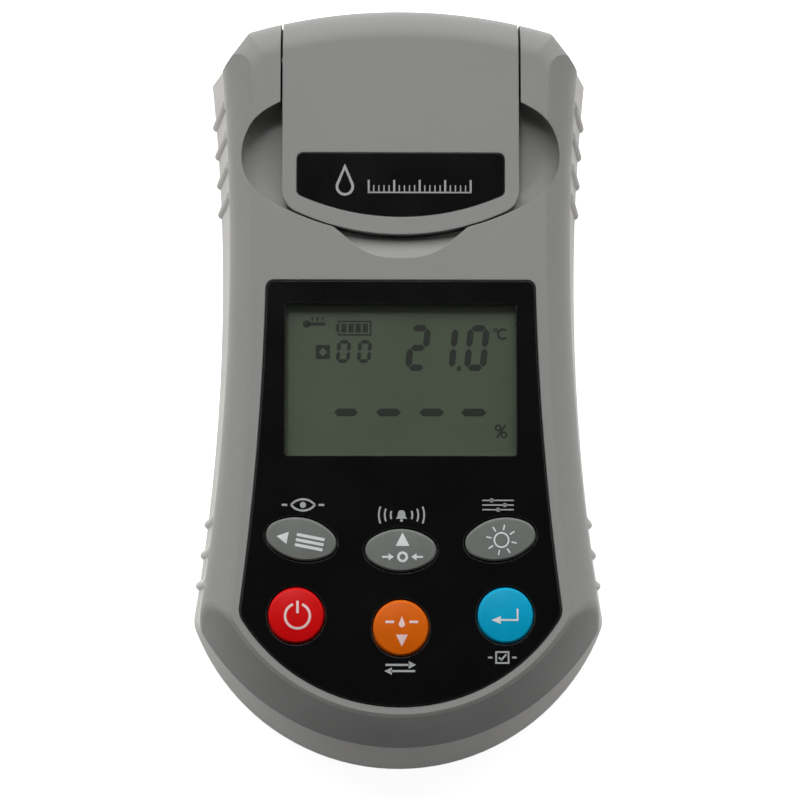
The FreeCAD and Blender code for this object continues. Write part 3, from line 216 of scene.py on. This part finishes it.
def rubber(name, colour):
    return moulded(name, colour, variation=0.08, roughness=0.72,
                   grain=0.5, grain_scale=1500.0, grain_depth=0.06)


def gloss_panel():
    """Glossy black printed plate with faint dust, orange peel and a painted highlight on its
    edges.
    """
    look = Look("gloss_panel")
    dust = look.ramp(look.noise(2400.0, 2.0), 0.0, 1.0, start=0.72, end=0.80)
    base = look.mix(dust, (0.0025, 0.0025, 0.0025), (0.02, 0.02, 0.02))
    # The edges are painted a lighter grey: a painted highlight where the edge catches light.
    painted_rim_highlight = look.edge(radius=0.22, low=0.80, high=0.985)
    look.colour(look.mix(painted_rim_highlight, base, (0.15, 0.15, 0.145)))
    look.roughness(look.noise(90.0, 5.0), 0.20, 0.32, start=0.3, end=0.7)
    look.bump([(look.noise(300.0, 2.0), 0.015, 0.02)], rounding=0.2)
    look.set(IOR=1.42, Specular_IOR_Level=0.15)
    return look.material


def key_plastic(name, colour):
    """Soft-touch coloured key with a fine grain and a painted highlight on its rim."""
    look = Look(name)
    clouds = look.ramp(look.noise(260.0, 4.0), 0.0, 1.0, start=0.3, end=0.7)
    base = look.mix(clouds, scaled(colour, 0.95), scaled(colour, 1.06, 0.002))
    # The rim is painted lighter: a painted highlight on the key's rounded edge.
    painted_rim_highlight = look.ramp(look.edge(radius=0.6, low=0.93, high=1.0), 0.0, 0.5)
    look.colour(look.mix(painted_rim_highlight, base, scaled(colour, 1.35, 0.01)))
    look.roughness(look.noise(700.0, 4.0), 0.29, 0.42, start=0.3, end=0.7)
    look.bump([(look.noise(3200.0, 2.0), 0.18, 0.02)], rounding=0.25)
    look.set(Specular_IOR_Level=0.18)
    return look.material


def display_ground():
    """Reflective display: grey-green ground with a fine grain of the polariser film."""
    look = Look("display_ground")
    clouds = look.ramp(look.noise(45.0, 3.0), 0.0, 1.0, start=0.35, end=0.65)
    base = look.mix(clouds, (0.104, 0.132, 0.088), (0.118, 0.146, 0.100))
    grain = look.ramp(look.noise(5200.0, 2.0), 0.0, 0.10, start=0.3, end=0.7)
    look.colour(look.mix(grain, base, (0.16, 0.18, 0.13)))
    look.roughness(look.noise(80.0), 0.30, 0.40)
    look.bump([(look.noise(4000.0, 2.0), 0.03, 0.005)])
    return look.material


def clear_pane():
    """Thin clear window: mostly see-through, with a reflection that grows at low angles."""
    look = Look("clear_pane")
    clear = look.add("ShaderNodeBsdfTransparent", Color=(0.97, 0.985, 0.96, 1.0))
    gloss = look.add("ShaderNodeBsdfGlossy")
    facing = look.add("ShaderNodeFresnel", IOR=1.38)
    smear = look.noise(60.0, 5.0)
    look.link(look.ramp(smear, 0.03, 0.09), gloss.inputs["Roughness"])
    blend = look.add("ShaderNodeMixShader")
    look.link(look.ramp(facing.outputs["Fac"], 0.0, 0.7), blend.inputs["Fac"])
    look.link(clear.outputs["BSDF"], blend.inputs[1])
    look.link(gloss.outputs["BSDF"], blend.inputs[2])
    look.link(blend.outputs["Shader"], look.output.inputs["Surface"])
    return look.material


def ink(name, colour, roughness=0.5):
    """Screen-printed ink: slightly uneven cover and a matt surface."""
    look = Look(name)
    cover = look.ramp(look.noise(1500.0, 4.0), 0.0, 1.0, start=0.3, end=0.7)
    look.colour(look.mix(cover, scaled(colour, 0.93), scaled(colour, 1.05)))
    look.roughness(look.noise(900.0), roughness - 0.08, roughness + 0.08)
    look.bump([(look.noise(2500.0, 2.0), 0.1, 0.01)])
    return look.material


def brushed_metal(name, colour=(0.62, 0.62, 0.60), roughness=0.28, stretch=(1.0, 14.0, 1.0)):
    """Brushed or turned metal with fine streaks along one way."""
    look = Look(name)
    mapping = look.add("ShaderNodeMapping", Scale=stretch)
    look.link(look.place.outputs["Object"], mapping.inputs["Vector"])
    streak = look.add("ShaderNodeTexNoise", Scale=700.0, Detail=4.0)
    look.link(mapping.outputs["Vector"], streak.inputs["Vector"])
    streaks = streak.outputs["Fac"]
    look.colour(look.mix(streaks, scaled(colour, 0.86), colour))
    look.roughness(streaks, roughness - 0.08, roughness + 0.12)
    look.bump([(streaks, 0.15, 0.02)])
    look.set(Metallic=1.0)
    return look.material


def optical_glass():
    """Polished glass with faint smears."""
    look = Look("optical_glass")
    look.set(Base_Color=(0.92, 0.97, 0.98, 1.0), IOR=1.52, Transmission_Weight=0.9)
    look.roughness(look.noise(140.0, 5.0), 0.02, 0.10)
    look.bump([(look.noise(300.0), 0.02, 0.01)])
    return look.material


def circuit_board():
    """Green solder resist over faint copper tracks."""
    look = Look("circuit_board")
    brick = look.add("ShaderNodeTexBrick", Scale=260.0, Mortar_Size=0.03,
                     Color1=(0.010, 0.085, 0.030, 1.0), Color2=(0.012, 0.100, 0.036, 1.0),
                     Mortar=(0.030, 0.170, 0.060, 1.0))
    look.link(look.place.outputs["Object"], brick.inputs["Vector"])
    look.colour(brick.outputs["Color"])
    look.roughness(look.noise(300.0), 0.30, 0.45)
    look.bump([(brick.outputs["Fac"], 0.2, 0.03)])
    return look.material


def cell_wrap():
    """Shrink sleeve of a battery cell: dark green with a light end towards the lid."""
    look = Look("cell_wrap")
    low, high = node_box("battery_cells")
    middle = (low.y + high.y) / 2 * MM
    light_start = middle + 0.0075
    light_full = middle + 0.0080
    along = look.axes(look.place, "Object")["Y"]
    light_end = look.ramp(along, 0.0, 1.0, start=light_start, end=light_full)
    sleeve = look.mix(light_end, (0.02, 0.09, 0.05), (0.55, 0.53, 0.46))
    mottle = look.ramp(look.noise(500.0), 0.0, 0.2)
    look.colour(look.mix(mottle, sleeve, (0.1, 0.1, 0.1)))
    look.roughness(look.noise(200.0), 0.22, 0.34)
    look.bump([(look.noise(150.0), 0.1, 0.05)])
    return look.material


# Paint the frame's own nodes

smooth_angle = math.radians(32.0)


def paint(material, *names):
    for name in names:
        data = nodes[name].data
        data.materials.clear()
        data.materials.append(material)


def soften(name):
    """Smooth shading across gentle facets only."""
    data = nodes[name].data
    for polygon in data.polygons:
        polygon.use_smooth = True
    data.set_sharp_from_angle(angle=smooth_angle)


case_plastic = moulded("case_plastic", (0.330, 0.330, 0.320), variation=0.045,
                       roughness=0.46, grain=0.35, grain_scale=2400.0, grain_depth=0.05,
                       wear_and_highlight=0.35, sheen=0.24)
base_plastic = moulded("base_plastic", (0.700, 0.682, 0.652), variation=0.07,
                       roughness=0.62, grain=0.85, grain_scale=1500.0, grain_depth=0.12,
                       wear_and_highlight=0.2, sheen=0.8)
panel_plate = gloss_panel()
black_plastic = moulded("black_plastic", (0.018, 0.018, 0.018), variation=0.1,
                        roughness=0.5, grain=0.4, grain_scale=1800.0, grain_depth=0.05)
white_plastic = moulded("white_plastic", (0.75, 0.75, 0.73), variation=0.02,
                        roughness=0.4, grain=0.2, grain_scale=1500.0, grain_depth=0.03)
black_rubber = rubber("black_rubber", (0.022, 0.022, 0.022))
grey_rubber = rubber("grey_rubber", (0.16, 0.16, 0.16))
steel = brushed_metal("steel")
polished = brushed_metal("polished_steel", (0.70, 0.70, 0.68), roughness=0.16,
                         stretch=(6.0, 6.0, 1.0))
glass = optical_glass()
green_board = circuit_board()

paint(case_plastic, "upper_housing", "lid_cover")
paint(base_plastic, "lower_housing", "battery_door")
paint(panel_plate, "front_panel", "lid_label_plate")
paint(clear_pane(), "display_window", "light_source")
paint(display_ground(), "lcd_glass")
paint(black_plastic, "lid_light_shield", "lcd_holder", "board_parts", "buzzer",
      "optical_block", "linear_sensor")
paint(white_plastic, "lcd_backlight")
paint(black_rubber, "lid_seal_ring", "prism_seal", "rubber_feet")
paint(grey_rubber, "keypad_mat", "lcd_zebra_strips")
paint(steel, "hinge_pin", "board_screws", "key_contacts", "battery_contacts",
      "battery_springs", "case_screws")
paint(polished, "sample_well")
paint(glass, "sample_prism", "condenser_lens", "focusing_lens")
paint(green_board, "main_board", "sensor_board")
paint(cell_wrap(), "battery_cells")
paint(key_plastic("key_grey", (0.185, 0.195, 0.182)), "read_key", "zero_key", "light_key")
paint(key_plastic("key_red", (0.690, 0.001, 0.002)), "power_key")
paint(key_plastic("key_orange", (0.740, 0.130, 0.000)), "test_key")
paint(key_plastic("key_blue", (0.000, 0.385, 0.640)), "enter_key")

for each in nodes:
    soften(each)


# Printed marks: flat outlines in millimetres, laid on a surface and given the ink's thickness

print_lift = 0.012
print_thickness = 0.03
curve_cuts = 3


def turns(start, end, steps):
    """Angles in radians from start to end, both given in degrees."""
    return [math.radians(start + (end - start) * i / steps) for i in range(steps + 1)]


def on_circle(x, y, radius, angles):
    return [(x + radius * math.cos(t), y + radius * math.sin(t)) for t in angles]


def drop(x, y, radius, steps):
    """The round part of a drop, open at its top where the tip joins."""
    return on_circle(x, y, radius, turns(152, 388, steps))


def flat_top(name):
    """A node's level top as a surface."""
    top = node_box(name)[1].z
    return lambda x, y: top


class Marks:
    """Collects outlines that lie on one surface and turns them into one printed piece."""

    def __init__(self, surface, origin=(0.0, 0.0), tilt=0.0, curved=False):
        self.surface = surface
        self.curved = curved
        self.origin = origin
        self.turn = math.radians(tilt)
        self.faces = []

    def at(self, point):
        """Place of a point given in the mark's own axes."""
        x, y = point
        cos = math.cos(self.turn)
        sin = math.sin(self.turn)
        return (self.origin[0] + x * cos - y * sin, self.origin[1] + x * sin + y * cos)

    def area(self, points):
        self.faces.append([self.at(point) for point in points])

    def strip(self, left, right):
        """Quads between two rows of points."""
        for i in range(len(left) - 1):
            self.area([left[i], left[i + 1], right[i + 1], right[i]])

    def disc(self, x, y, radius, steps=24):
        self.area(on_circle(x, y, radius, turns(0, 360, steps)[:-1]))

    def arc(self, x, y, radius, width, start, end, steps=32):
        """A stroke along part of a circle, angles in degrees."""
        angles = turns(start, end, steps)
        self.strip(on_circle(x, y, radius + width / 2, angles),
                   on_circle(x, y, radius - width / 2, angles))

    def ring(self, x, y, radius, width, steps=32):
        self.arc(x, y, radius, width, 0, 360, steps)

    def line(self, x0, y0, x1, y1, width):
        """A straight stroke with square ends."""
        length = math.hypot(x1 - x0, y1 - y0)
        nx = -(y1 - y0) / length * width / 2
        ny = (x1 - x0) / length * width / 2
        self.area([(x0 + nx, y0 + ny), (x0 - nx, y0 - ny), (x1 - nx, y1 - ny), (x1 + nx, y1 + ny)])

    def frame(self, x0, y0, x1, y1, width):
        """The outline of a rectangle."""
        half = width / 2
        self.line(x0 - half, y0, x1 + half, y0, width)
        self.line(x0 - half, y1, x1 + half, y1, width)
        self.line(x0, y0 + half, x0, y1 - half, width)
        self.line(x1, y0 + half, x1, y1 - half, width)

    def build(self, name, material, slot, body):
        """Lays the outlines on the surface and thickens them.

        On a curved surface they are split first, finely enough to follow it.
        """
        solid = bmesh.new()
        for points in self.faces:
            solid.faces.new([solid.verts.new((x, y, 0)) for x, y in points])
        for face in solid.faces:
            if face.normal.z < 0:
                face.normal_flip()
        if self.curved:
            bmesh.ops.triangulate(solid, faces=solid.faces)
            bmesh.ops.subdivide_edges(solid, edges=solid.edges, cuts=curve_cuts,
                                      use_grid_fill=True)
        raised = bmesh.ops.extrude_face_region(solid, geom=solid.faces[:])["geom"]
        tops = {item for item in raised if isinstance(item, bmesh.types.BMVert)}
        for vert in solid.verts:
            lift = print_lift + (print_thickness if vert in tops else 0.0)
            x, y = vert.co.xy
            vert.co = Vector((x, y, self.surface(x, y) + lift)) * MM
        bmesh.ops.recalc_face_normals(solid, faces=solid.faces)
        mesh = bpy.data.meshes.new(name)
        solid.to_mesh(mesh)
        solid.free()
        mesh.materials.append(material)
        piece = bpy.data.objects.new(name, mesh)
        bpy.context.scene.collection.objects.link(piece)
        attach(piece, body)


# Display segments

segment_ink = ink("segment_ink", (0.006, 0.010, 0.008), roughness=0.45)
segment_sets = {"0": "abcdef", "1": "bc", "2": "abdeg"}


def seven_segments(marks, digit, x, y, width, height, stroke, slant):
    """A seven-segment digit with its lower left corner at x, y.

    The slant is its lean to the right per unit of height.
    """
    gap = stroke * 0.09
    half = stroke / 2
    bottom = y + half
    middle = y + height / 2
    top = y + height - half
    left = x + half
    right = x + width - half

    def lean(point):
        return (point[0] + (point[1] - y) * slant, point[1])

    def flat(level_y):
        a = left + gap
        b = right - gap
        return [(a, level_y), (a + half, level_y + half), (b - half, level_y + half),
                (b, level_y), (b - half, level_y - half), (a + half, level_y - half)]

    def upright(level_x, low, high):
        a = low + gap
        b = high - gap
        return [(level_x, a), (level_x + half, a + half), (level_x + half, b - half),
                (level_x, b), (level_x - half, b - half), (level_x - half, a + half)]

    shapes = {"a": flat(top), "g": flat(middle), "d": flat(bottom),
              "b": upright(right, middle, top), "c": upright(right, bottom, middle),
              "f": upright(left, middle, top), "e": upright(left, bottom, middle)}
    for name in segment_sets[digit]:
        marks.area([lean(point) for point in shapes[name]])


def display_segments():
    """A large and a small number, a row of dashes and the small symbols round them."""
    marks = Marks(flat_top("lcd_glass"))
    large_low = 2.62
    for digit, x in (("2", 0.85), ("1", 6.55), ("0", 12.95)):
        seven_segments(marks, digit, x, large_low, width=4.55, height=9.5, stroke=1.32, slant=0.10)
    marks.area([(11.55, large_low), (12.35, large_low), (12.43, 3.6), (11.63, 3.6)])
    small_low = 4.24
    for x in (-13.35, -9.05):
        seven_segments(marks, "0", x, small_low, width=2.85, height=4.76, stroke=0.78, slant=0.08)
    dash_y = -5.97
    dash_half = 0.80
    for x0, x1 in ((-13.65, -8.73), (-5.04, 0.09), (3.79, 8.92), (12.41, 17.64)):
        marks.area([(x0, dash_y), (x0 + dash_half, dash_y + dash_half),
                    (x1 - dash_half, dash_y + dash_half), (x1, dash_y),
                    (x1 - dash_half, dash_y - dash_half), (x0 + dash_half, dash_y - dash_half)])
    battery_symbol(marks, -12.75, 10.05, -6.15, 12.85)
    framed_diamond(marks, -15.95, 6.5, 1.45)
    thermometer(marks, -19.9, 12.6)
    degree_letter(marks, 19.3, 9.06, 2.4)
    percent(marks, 19.4, -11.2, 2.45, 2.7)
    marks.build("display_segments", segment_ink, "display_glass", "case")


def battery_symbol(marks, x0, y0, x1, y1):
    """A framed battery with its terminal to the left and four bars."""
    inset = 0.35
    nub = (y1 - y0) / 4
    bars = 4
    pitch = (x1 - x0 - 2 * inset) / bars
    marks.frame(x0, y0, x1, y1, 0.32)
    marks.line(x0 - inset, y0 + nub, x0 - inset, y1 - nub, 0.45)
    for i in range(bars):
        x = x0 + inset + (i + 0.5) * pitch
        marks.line(x, y0 + 0.5, x, y1 - 0.5, pitch * 0.72)


def framed_diamond(marks, x, y, half):
    """A dark square with a light diamond left open in it."""
    inner = half * 0.62
    corners = [(-half, -half), (half, -half), (half, half), (-half, half)]
    tips = [(0, -inner), (inner, 0), (0, inner), (-inner, 0)]
    for i in range(4):
        a = corners[i]
        b = corners[(i + 1) % 4]
        tip = tips[i]
        next_tip = tips[(i + 1) % 4]
        marks.area([(x + a[0], y + a[1]), (x + b[0], y + b[1]), (x + tip[0], y + tip[1])])
        marks.area([(x + b[0], y + b[1]), (x + next_tip[0], y + next_tip[1]),
                    (x + tip[0], y + tip[1])])


def thermometer(marks, x, y):
    """A small lying thermometer with three ticks."""
    stem = y - 0.3
    marks.disc(x + 0.55, stem, 0.78)
    marks.line(x + 0.9, stem, x + 4.4, stem, 0.72)
    for i in range(3):
        tick = x + 1.75 + i * 1.05
        marks.line(tick, y + 0.35, tick, y + 1.15, 0.36)


def degree_letter(marks, x, y, height):
    """The degree sign with the letter C."""
    marks.ring(x + 0.25, y + height - 0.35, 0.34, 0.24, 16)
    marks.arc(x + 1.75, y + height / 2, height / 2 - 0.22, 0.46, 48, 312)


def percent(marks, x, y, width, height):
    radius = height * 0.2
    inset = radius + 0.1
    marks.ring(x + inset, y + height - inset, radius, 0.36, 20)
    marks.ring(x + width - inset, y + inset, radius, 0.36, 20)
    marks.line(x + 0.35, y + 0.05, x + width - 0.35, y + height - 0.05, 0.4)


# Symbols printed on the panel beside the keys

legend_ink = ink("legend_ink", (0.42, 0.435, 0.435))
legend_stroke = 0.42


def panel_legends():
    marks = Marks(flat_top("front_panel"))
    eye(marks, -19.85, -25.15)
    bell(marks, 0.15, -27.2)
    sliders(marks, 19.75, -25.15)
    swap_arrows(marks, -0.1, -58.05)
    tick_box(marks, 20.5, -55.95)
    marks.build("panel_legends", legend_ink, "black_gloss", "case")


def eye(marks, x, y):
    """Two arcs that meet in the corners of an eye, with a dash at each side."""
    radius = 3.1
    rise = 1.95
    marks.arc(x, y - rise, radius, legend_stroke, 39, 141)
    marks.arc(x, y + rise, radius, legend_stroke, 219, 321)
    marks.disc(x, y, 0.62)
    for side in (-1, 1):
        marks.line(x + side * 3.2, y, x + side * 4.3, y, legend_stroke)


def bell(marks, x, y):
    """A bell with its clapper and three sound waves at each side."""
    outline = [(-1.15, -0.75), (1.15, -0.75), (0.8, -0.25), (0.75, 0.45),
               (0.4, 0.95), (-0.4, 0.95), (-0.75, 0.45), (-0.8, -0.25)]
    spread = 22
    marks.area([(x + dx, y + dy) for dx, dy in outline])
    marks.disc(x, y - 1.1, 0.3, 12)
    for side in (0, 180):
        for radius in (2.2, 3.4, 4.6):
            marks.arc(x, y, radius, legend_stroke * 0.85, side - spread, side + spread, 10)


def sliders(marks, x, y):
    """Three rails, each with its knob in another place."""
    pitch = 0.95
    for i, shift in enumerate((-1.3, 1.4, 0.0)):
        row = y + pitch - i * pitch
        marks.line(x - 3.2, row, x + 3.2, row, 0.26)
        marks.line(x + shift - 0.3, row, x + shift + 0.3, row, 0.75)


def swap_arrows(marks, x, y):
    """An arrow to the right above one to the left."""
    for side in (-1, 1):
        row = y + side * 0.62
        tip = x + side * 3.2
        marks.line(x - side * 3.0, row, x + side * 1.9, row, legend_stroke)
        marks.area([(tip, row), (tip - side * 1.5, row + 0.75), (tip - side * 1.5, row - 0.75)])


def tick_box(marks, x, y):
    """A ticked box with a dash at each side."""
    marks.frame(x - 1.25, y - 1.1, x + 1.25, y + 1.1, 0.34)
    marks.line(x - 0.7, y + 0.05, x - 0.15, y - 0.55, 0.36)
    marks.line(x - 0.25, y - 0.55, x + 0.8, y + 0.65, 0.36)
    for side in (-1, 1):
        marks.line(x + side * 2.0, y, x + side * 2.9, y, 0.34)


# Symbols printed on the keys, in millimetres from the middle of each key

white_ink = ink("white_ink", (0.80, 0.82, 0.83))
pink_ink = ink("pink_ink", (0.90, 0.66, 0.63))
round_key_radius = 5.6
oval_key_half_width = 7.2
oval_tilt = 11.0
key_dome_drop = 0.5
key_stroke = 0.52


def key_marks(name, half_width, shift=(0.0, 0.0), tilt=0.0):
    """Marks on a key's domed top, which falls by key_dome_drop from its middle to half_width."""
    low, high = node_box(name)
    x0 = (low.x + high.x) / 2
    y0 = (low.y + high.y) / 2
    radius = (half_width ** 2 + key_dome_drop ** 2) / (2 * key_dome_drop)

    def dome(x, y):
        return high.z - radius + math.sqrt(radius ** 2 - (x - x0) ** 2 - (y - y0) ** 2)

    return Marks(dome, (x0 + shift[0], y0 + shift[1]), tilt, curved=True)


def read_marks():
    """An arrowhead and three list lines."""
    marks = key_marks("read_key", oval_key_half_width, tilt=-oval_tilt)
    marks.area([(-5.0, -0.35), (-2.7, 0.95), (-2.7, -1.55)])
    for i in range(3):
        row = 0.75 - i * 1.05
        marks.line(-1.0, row, 4.7, row, 0.62)
    marks.build("read_key_symbol", white_ink, "key_grey", "read_key")


def zero_marks():
    """An arrowhead above a ring between two arrows."""
    marks = key_marks("zero_key", oval_key_half_width)
    middle = 0.35
    row = -1.35
    marks.area([(middle, 3.6), (-1.05, 0.85), (1.75, 0.85)])
    marks.ring(middle, row, 0.85, key_stroke)
    for side in (-1, 1):
        tip = middle + side * 1.75
        marks.area([(tip, row), (tip + side * 1.1, row + 0.75), (tip + side * 1.1, row - 0.75)])
        marks.line(tip + side * 1.0, row, tip + side * 2.4, row, 0.42)
    marks.build("zero_key_symbol", white_ink, "key_grey", "zero_key")


def sun_marks():
    """A ring with eight rays."""
    marks = key_marks("light_key", oval_key_half_width, (0.18, -0.18), oval_tilt)
    rays = 8
    ray_start = 2.05
    ray_end = 3.15
    marks.ring(0, 0, 1.45, 0.34, 40)
    for i in range(rays):
        angle = math.radians((i + 0.5) * 360 / rays)
        marks.line(ray_start * math.cos(angle), ray_start * math.sin(angle),
                   ray_end * math.cos(angle), ray_end * math.sin(angle), 0.3)
    marks.build("light_key_symbol", white_ink, "key_grey", "light_key")


def power_marks():
    """A ring that is open at the top for a short stroke."""
    marks = key_marks("power_key", round_key_radius, (0.3, -0.1))
    stroke = 0.5
    marks.arc(0, 0, 2.5, stroke, 112, 428, 48)
    marks.line(0, 0.55, 0, 3.05, stroke)
    marks.build("power_key_symbol", pink_ink, "key_red", "power_key")


def test_marks():
    """A drop between two dashes above an arrowhead."""
    marks = key_marks("test_key", round_key_radius, (0.2, 0.0))
    dash_y = 1.2
    marks.area([(0.0, 2.35)] + drop(0.0, 0.72, 0.62, 18))
    for side in (-1, 1):
        marks.line(side * 1.55, dash_y, side * 3.3, dash_y, key_stroke)
    marks.area([(-1.2, -1.35), (0.0, -3.75), (1.2, -1.35)])
    marks.build("test_key_symbol", pink_ink, "key_orange", "test_key")


def enter_marks():
    """An arrow to the left that comes down from the right."""
    marks = key_marks("enter_key", round_key_radius)
    row = -0.92
    stroke = 0.36
    marks.area([(-2.85, row), (-0.95, row + 0.8), (-0.95, row - 0.8)])
    marks.line(-1.0, row, 2.6, row, stroke)
    marks.line(2.42, row, 2.42, 1.35, stroke)
    marks.build("enter_key_symbol", white_ink, "key_blue", "enter_key")


def lid_marks():
    """A drop and a tick scale on the lid's label."""
    marks = Marks(flat_top("lid_label_plate"))
    low, high = node_box("lid_label_plate")
    middle = (low.y + high.y) / 2
    drop_x = -11.5
    drop_y = middle - 0.4
    outer = drop(drop_x, drop_y, 1.9, 28)
    inner = drop(drop_x, drop_y, 1.35, 28)
    outer_tip = (drop_x, middle + 4.4)
    inner_tip = (drop_x, middle + 3.2)
    marks.strip([outer_tip] + outer + [outer_tip], [inner_tip] + inner + [inner_tip])
    start = -6.6
    pitch = 1.05
    steps = 20
    foot = middle - 1.6
    for i in range(steps + 1):
        height, stroke = (2.6, 0.4) if i % 5 == 0 else (1.5, 0.24)
        x = start + i * pitch
        marks.line(x, foot, x, foot + height, stroke)
    marks.line(start - 0.2, foot, start + steps * pitch + 0.2, foot, 0.3)
    marks.build("lid_label_marks", legend_ink, "black_gloss", "lid")


display_segments()
panel_legends()
read_marks()
zero_marks()
sun_marks()
power_marks()
test_marks()
enter_marks()
lid_marks()


# Surroundings: a white floor in a studio that is bright behind and at the sides, and dark
# above and in front

# The floor's own grey in front and behind, and the glow that makes it white where it is seen
floor_front = 0.10
floor_back = 0.75
floor_front_end = -0.16
floor_back_start = -0.02
floor_glow = 0.90
floor_glow_front = 0.97
floor_size = 8.0
floor_level = -0.0002

# Brightness of the studio's walls, where 1 is white
room_light = 0.005
left_light = 3.0
right_light = 1.5
back_light = 2.4
above_light = 0.20


def floor():
    """White to the camera and in reflections; its own colour is grey, darker at the front."""
    mesh = bpy.data.meshes.new("floor")
    corners = [(-floor_size, -floor_size), (floor_size, -floor_size),
               (floor_size, floor_size), (-floor_size, floor_size)]
    mesh.from_pydata([(x, y, floor_level) for x, y in corners], [], [(0, 1, 2, 3)])
    plane = bpy.data.objects.new("floor", mesh)
    bpy.context.scene.collection.objects.link(plane)
    look = Look("floor_white")
    along = look.axes(look.place, "Object")["Y"]
    ahead = look.ramp(along, 1.0, 0.0, start=floor_front_end, end=floor_back_start)
    grey = look.mix(ahead, (floor_back,) * 3, (floor_front,) * 3)
    fibres = look.ramp(look.noise(180.0, 5.0), 0.96, 1.04, start=0.3, end=0.7)
    shade = look.add("ShaderNodeVectorMath", operation="SCALE")
    look.link(grey, shade.inputs["Vector"])
    look.link(fibres, shade.inputs["Scale"])
    look.colour(shade.outputs["Vector"])
    look.set(Roughness=0.9, Specular_IOR_Level=0.0)
    path = look.add("ShaderNodeLightPath")
    seen = path.outputs["Is Camera Ray"]
    for kind in ("Is Glossy Ray", "Is Transmission Ray"):
        seen = look.calculate("MAXIMUM", seen, path.outputs[kind])
    glow = look.add("ShaderNodeEmission", Color=(1.0, 1.0, 1.0, 1.0))
    strength = look.ramp(ahead, floor_glow, floor_glow_front)
    look.link(look.calculate("MULTIPLY", seen, strength), glow.inputs["Strength"])
    total = look.add("ShaderNodeAddShader")
    look.link(look.shader.outputs["BSDF"], total.inputs[0])
    look.link(glow.outputs["Emission"], total.inputs[1])
    look.link(total.outputs["Shader"], look.output.inputs["Surface"])
    mesh.materials.append(look.material)


def world():
    """Studio brightness by direction: low walls at the sides, a wall behind, a faint ceiling."""
    studio = bpy.data.worlds.new("studio")
    studio.use_nodes = True
    bpy.context.scene.world = studio
    tree = Tree(studio.node_tree)
    tree.tree.nodes.clear()

    def fade(value, start, end, high=1.0):
        """Rises smoothly from nought at start to high at end, parts of a unit direction."""
        node = tree.add("ShaderNodeMapRange", interpolation_type="SMOOTHSTEP",
                        From_Min=start, From_Max=end, To_Max=high)
        tree.link(value, node.inputs["Value"])
        return node.outputs["Result"]

    x, y, z = tree.axes(tree.add("ShaderNodeTexCoord"), "Generated")
    behind = tree.calculate("MULTIPLY", fade(y, 0.30, 0.60, high=back_light),
                            fade(z, 0.05, 0.45))
    left = fade(x, -0.35, -0.80, high=left_light)
    right = fade(x, 0.35, 0.80, high=right_light)
    low = tree.calculate("MULTIPLY", fade(z, 0.24, 0.03), fade(y, -0.60, 0.00))
    sides = tree.calculate("MULTIPLY", tree.calculate("ADD", left, right), low)
    above = tree.calculate("MULTIPLY", fade(z, 0.50, 0.85, high=above_light),
                           fade(y, -0.30, 0.15))
    total = tree.calculate("ADD", tree.calculate("ADD", behind, above),
                           tree.calculate("ADD", sides, room_light))
    background = tree.add("ShaderNodeBackground", Color=(1.0, 1.0, 1.0, 1.0))
    tree.link(total, background.inputs["Strength"])
    output = tree.add("ShaderNodeOutputWorld")
    tree.link(background.outputs["Background"], output.inputs["Surface"])


def aim(thing, target):
    """Turns a lamp or camera towards a target, with +Y up in its picture."""
    back = (thing.location - target).normalized()
    right = Vector((0, 1, 0)).cross(back).normalized()
    thing.rotation_euler = Matrix((right, back.cross(right), back)).transposed().to_euler()


def spotlight(name, place, target, angle, radius, power):
    data = bpy.data.lights.new(name, "SPOT")
    data.spot_size = math.radians(angle)
    data.spot_blend = 1.0
    data.shadow_soft_size = radius
    data.energy = power
    lamp = bpy.data.objects.new(name, data)
    lamp.location = place
    aim(lamp, target)
    bpy.context.scene.collection.objects.link(lamp)


floor()
world()
spotlight("face_lamp", place=Vector((-0.10, 0.29, 0.665)), target=Vector((0, -0.028, 0.04)),
          angle=13.0, radius=0.16, power=25.0)


# Camera at the photograph's place: nearly overhead, a little to the front and left

camera_place = Vector((-6.9, -54.66, 537.4)) * MM
camera_target = Vector((-0.153, -3.7, 40.0)) * MM
focal_pixels = 2451.0
picture_pixels = 800.0
sensor_width = 36.0

camera_data = bpy.data.cameras.new("camera")
camera_data.sensor_width = sensor_width
camera_data.lens = focal_pixels / picture_pixels * sensor_width
camera_data.clip_start = 0.01
camera = bpy.data.objects.new("camera", camera_data)
camera.location = camera_place
aim(camera, camera_target)
bpy.context.scene.collection.objects.link(camera)
bpy.context.scene.camera = camera
bpy.context.scene.view_settings.view_transform = "Standard"
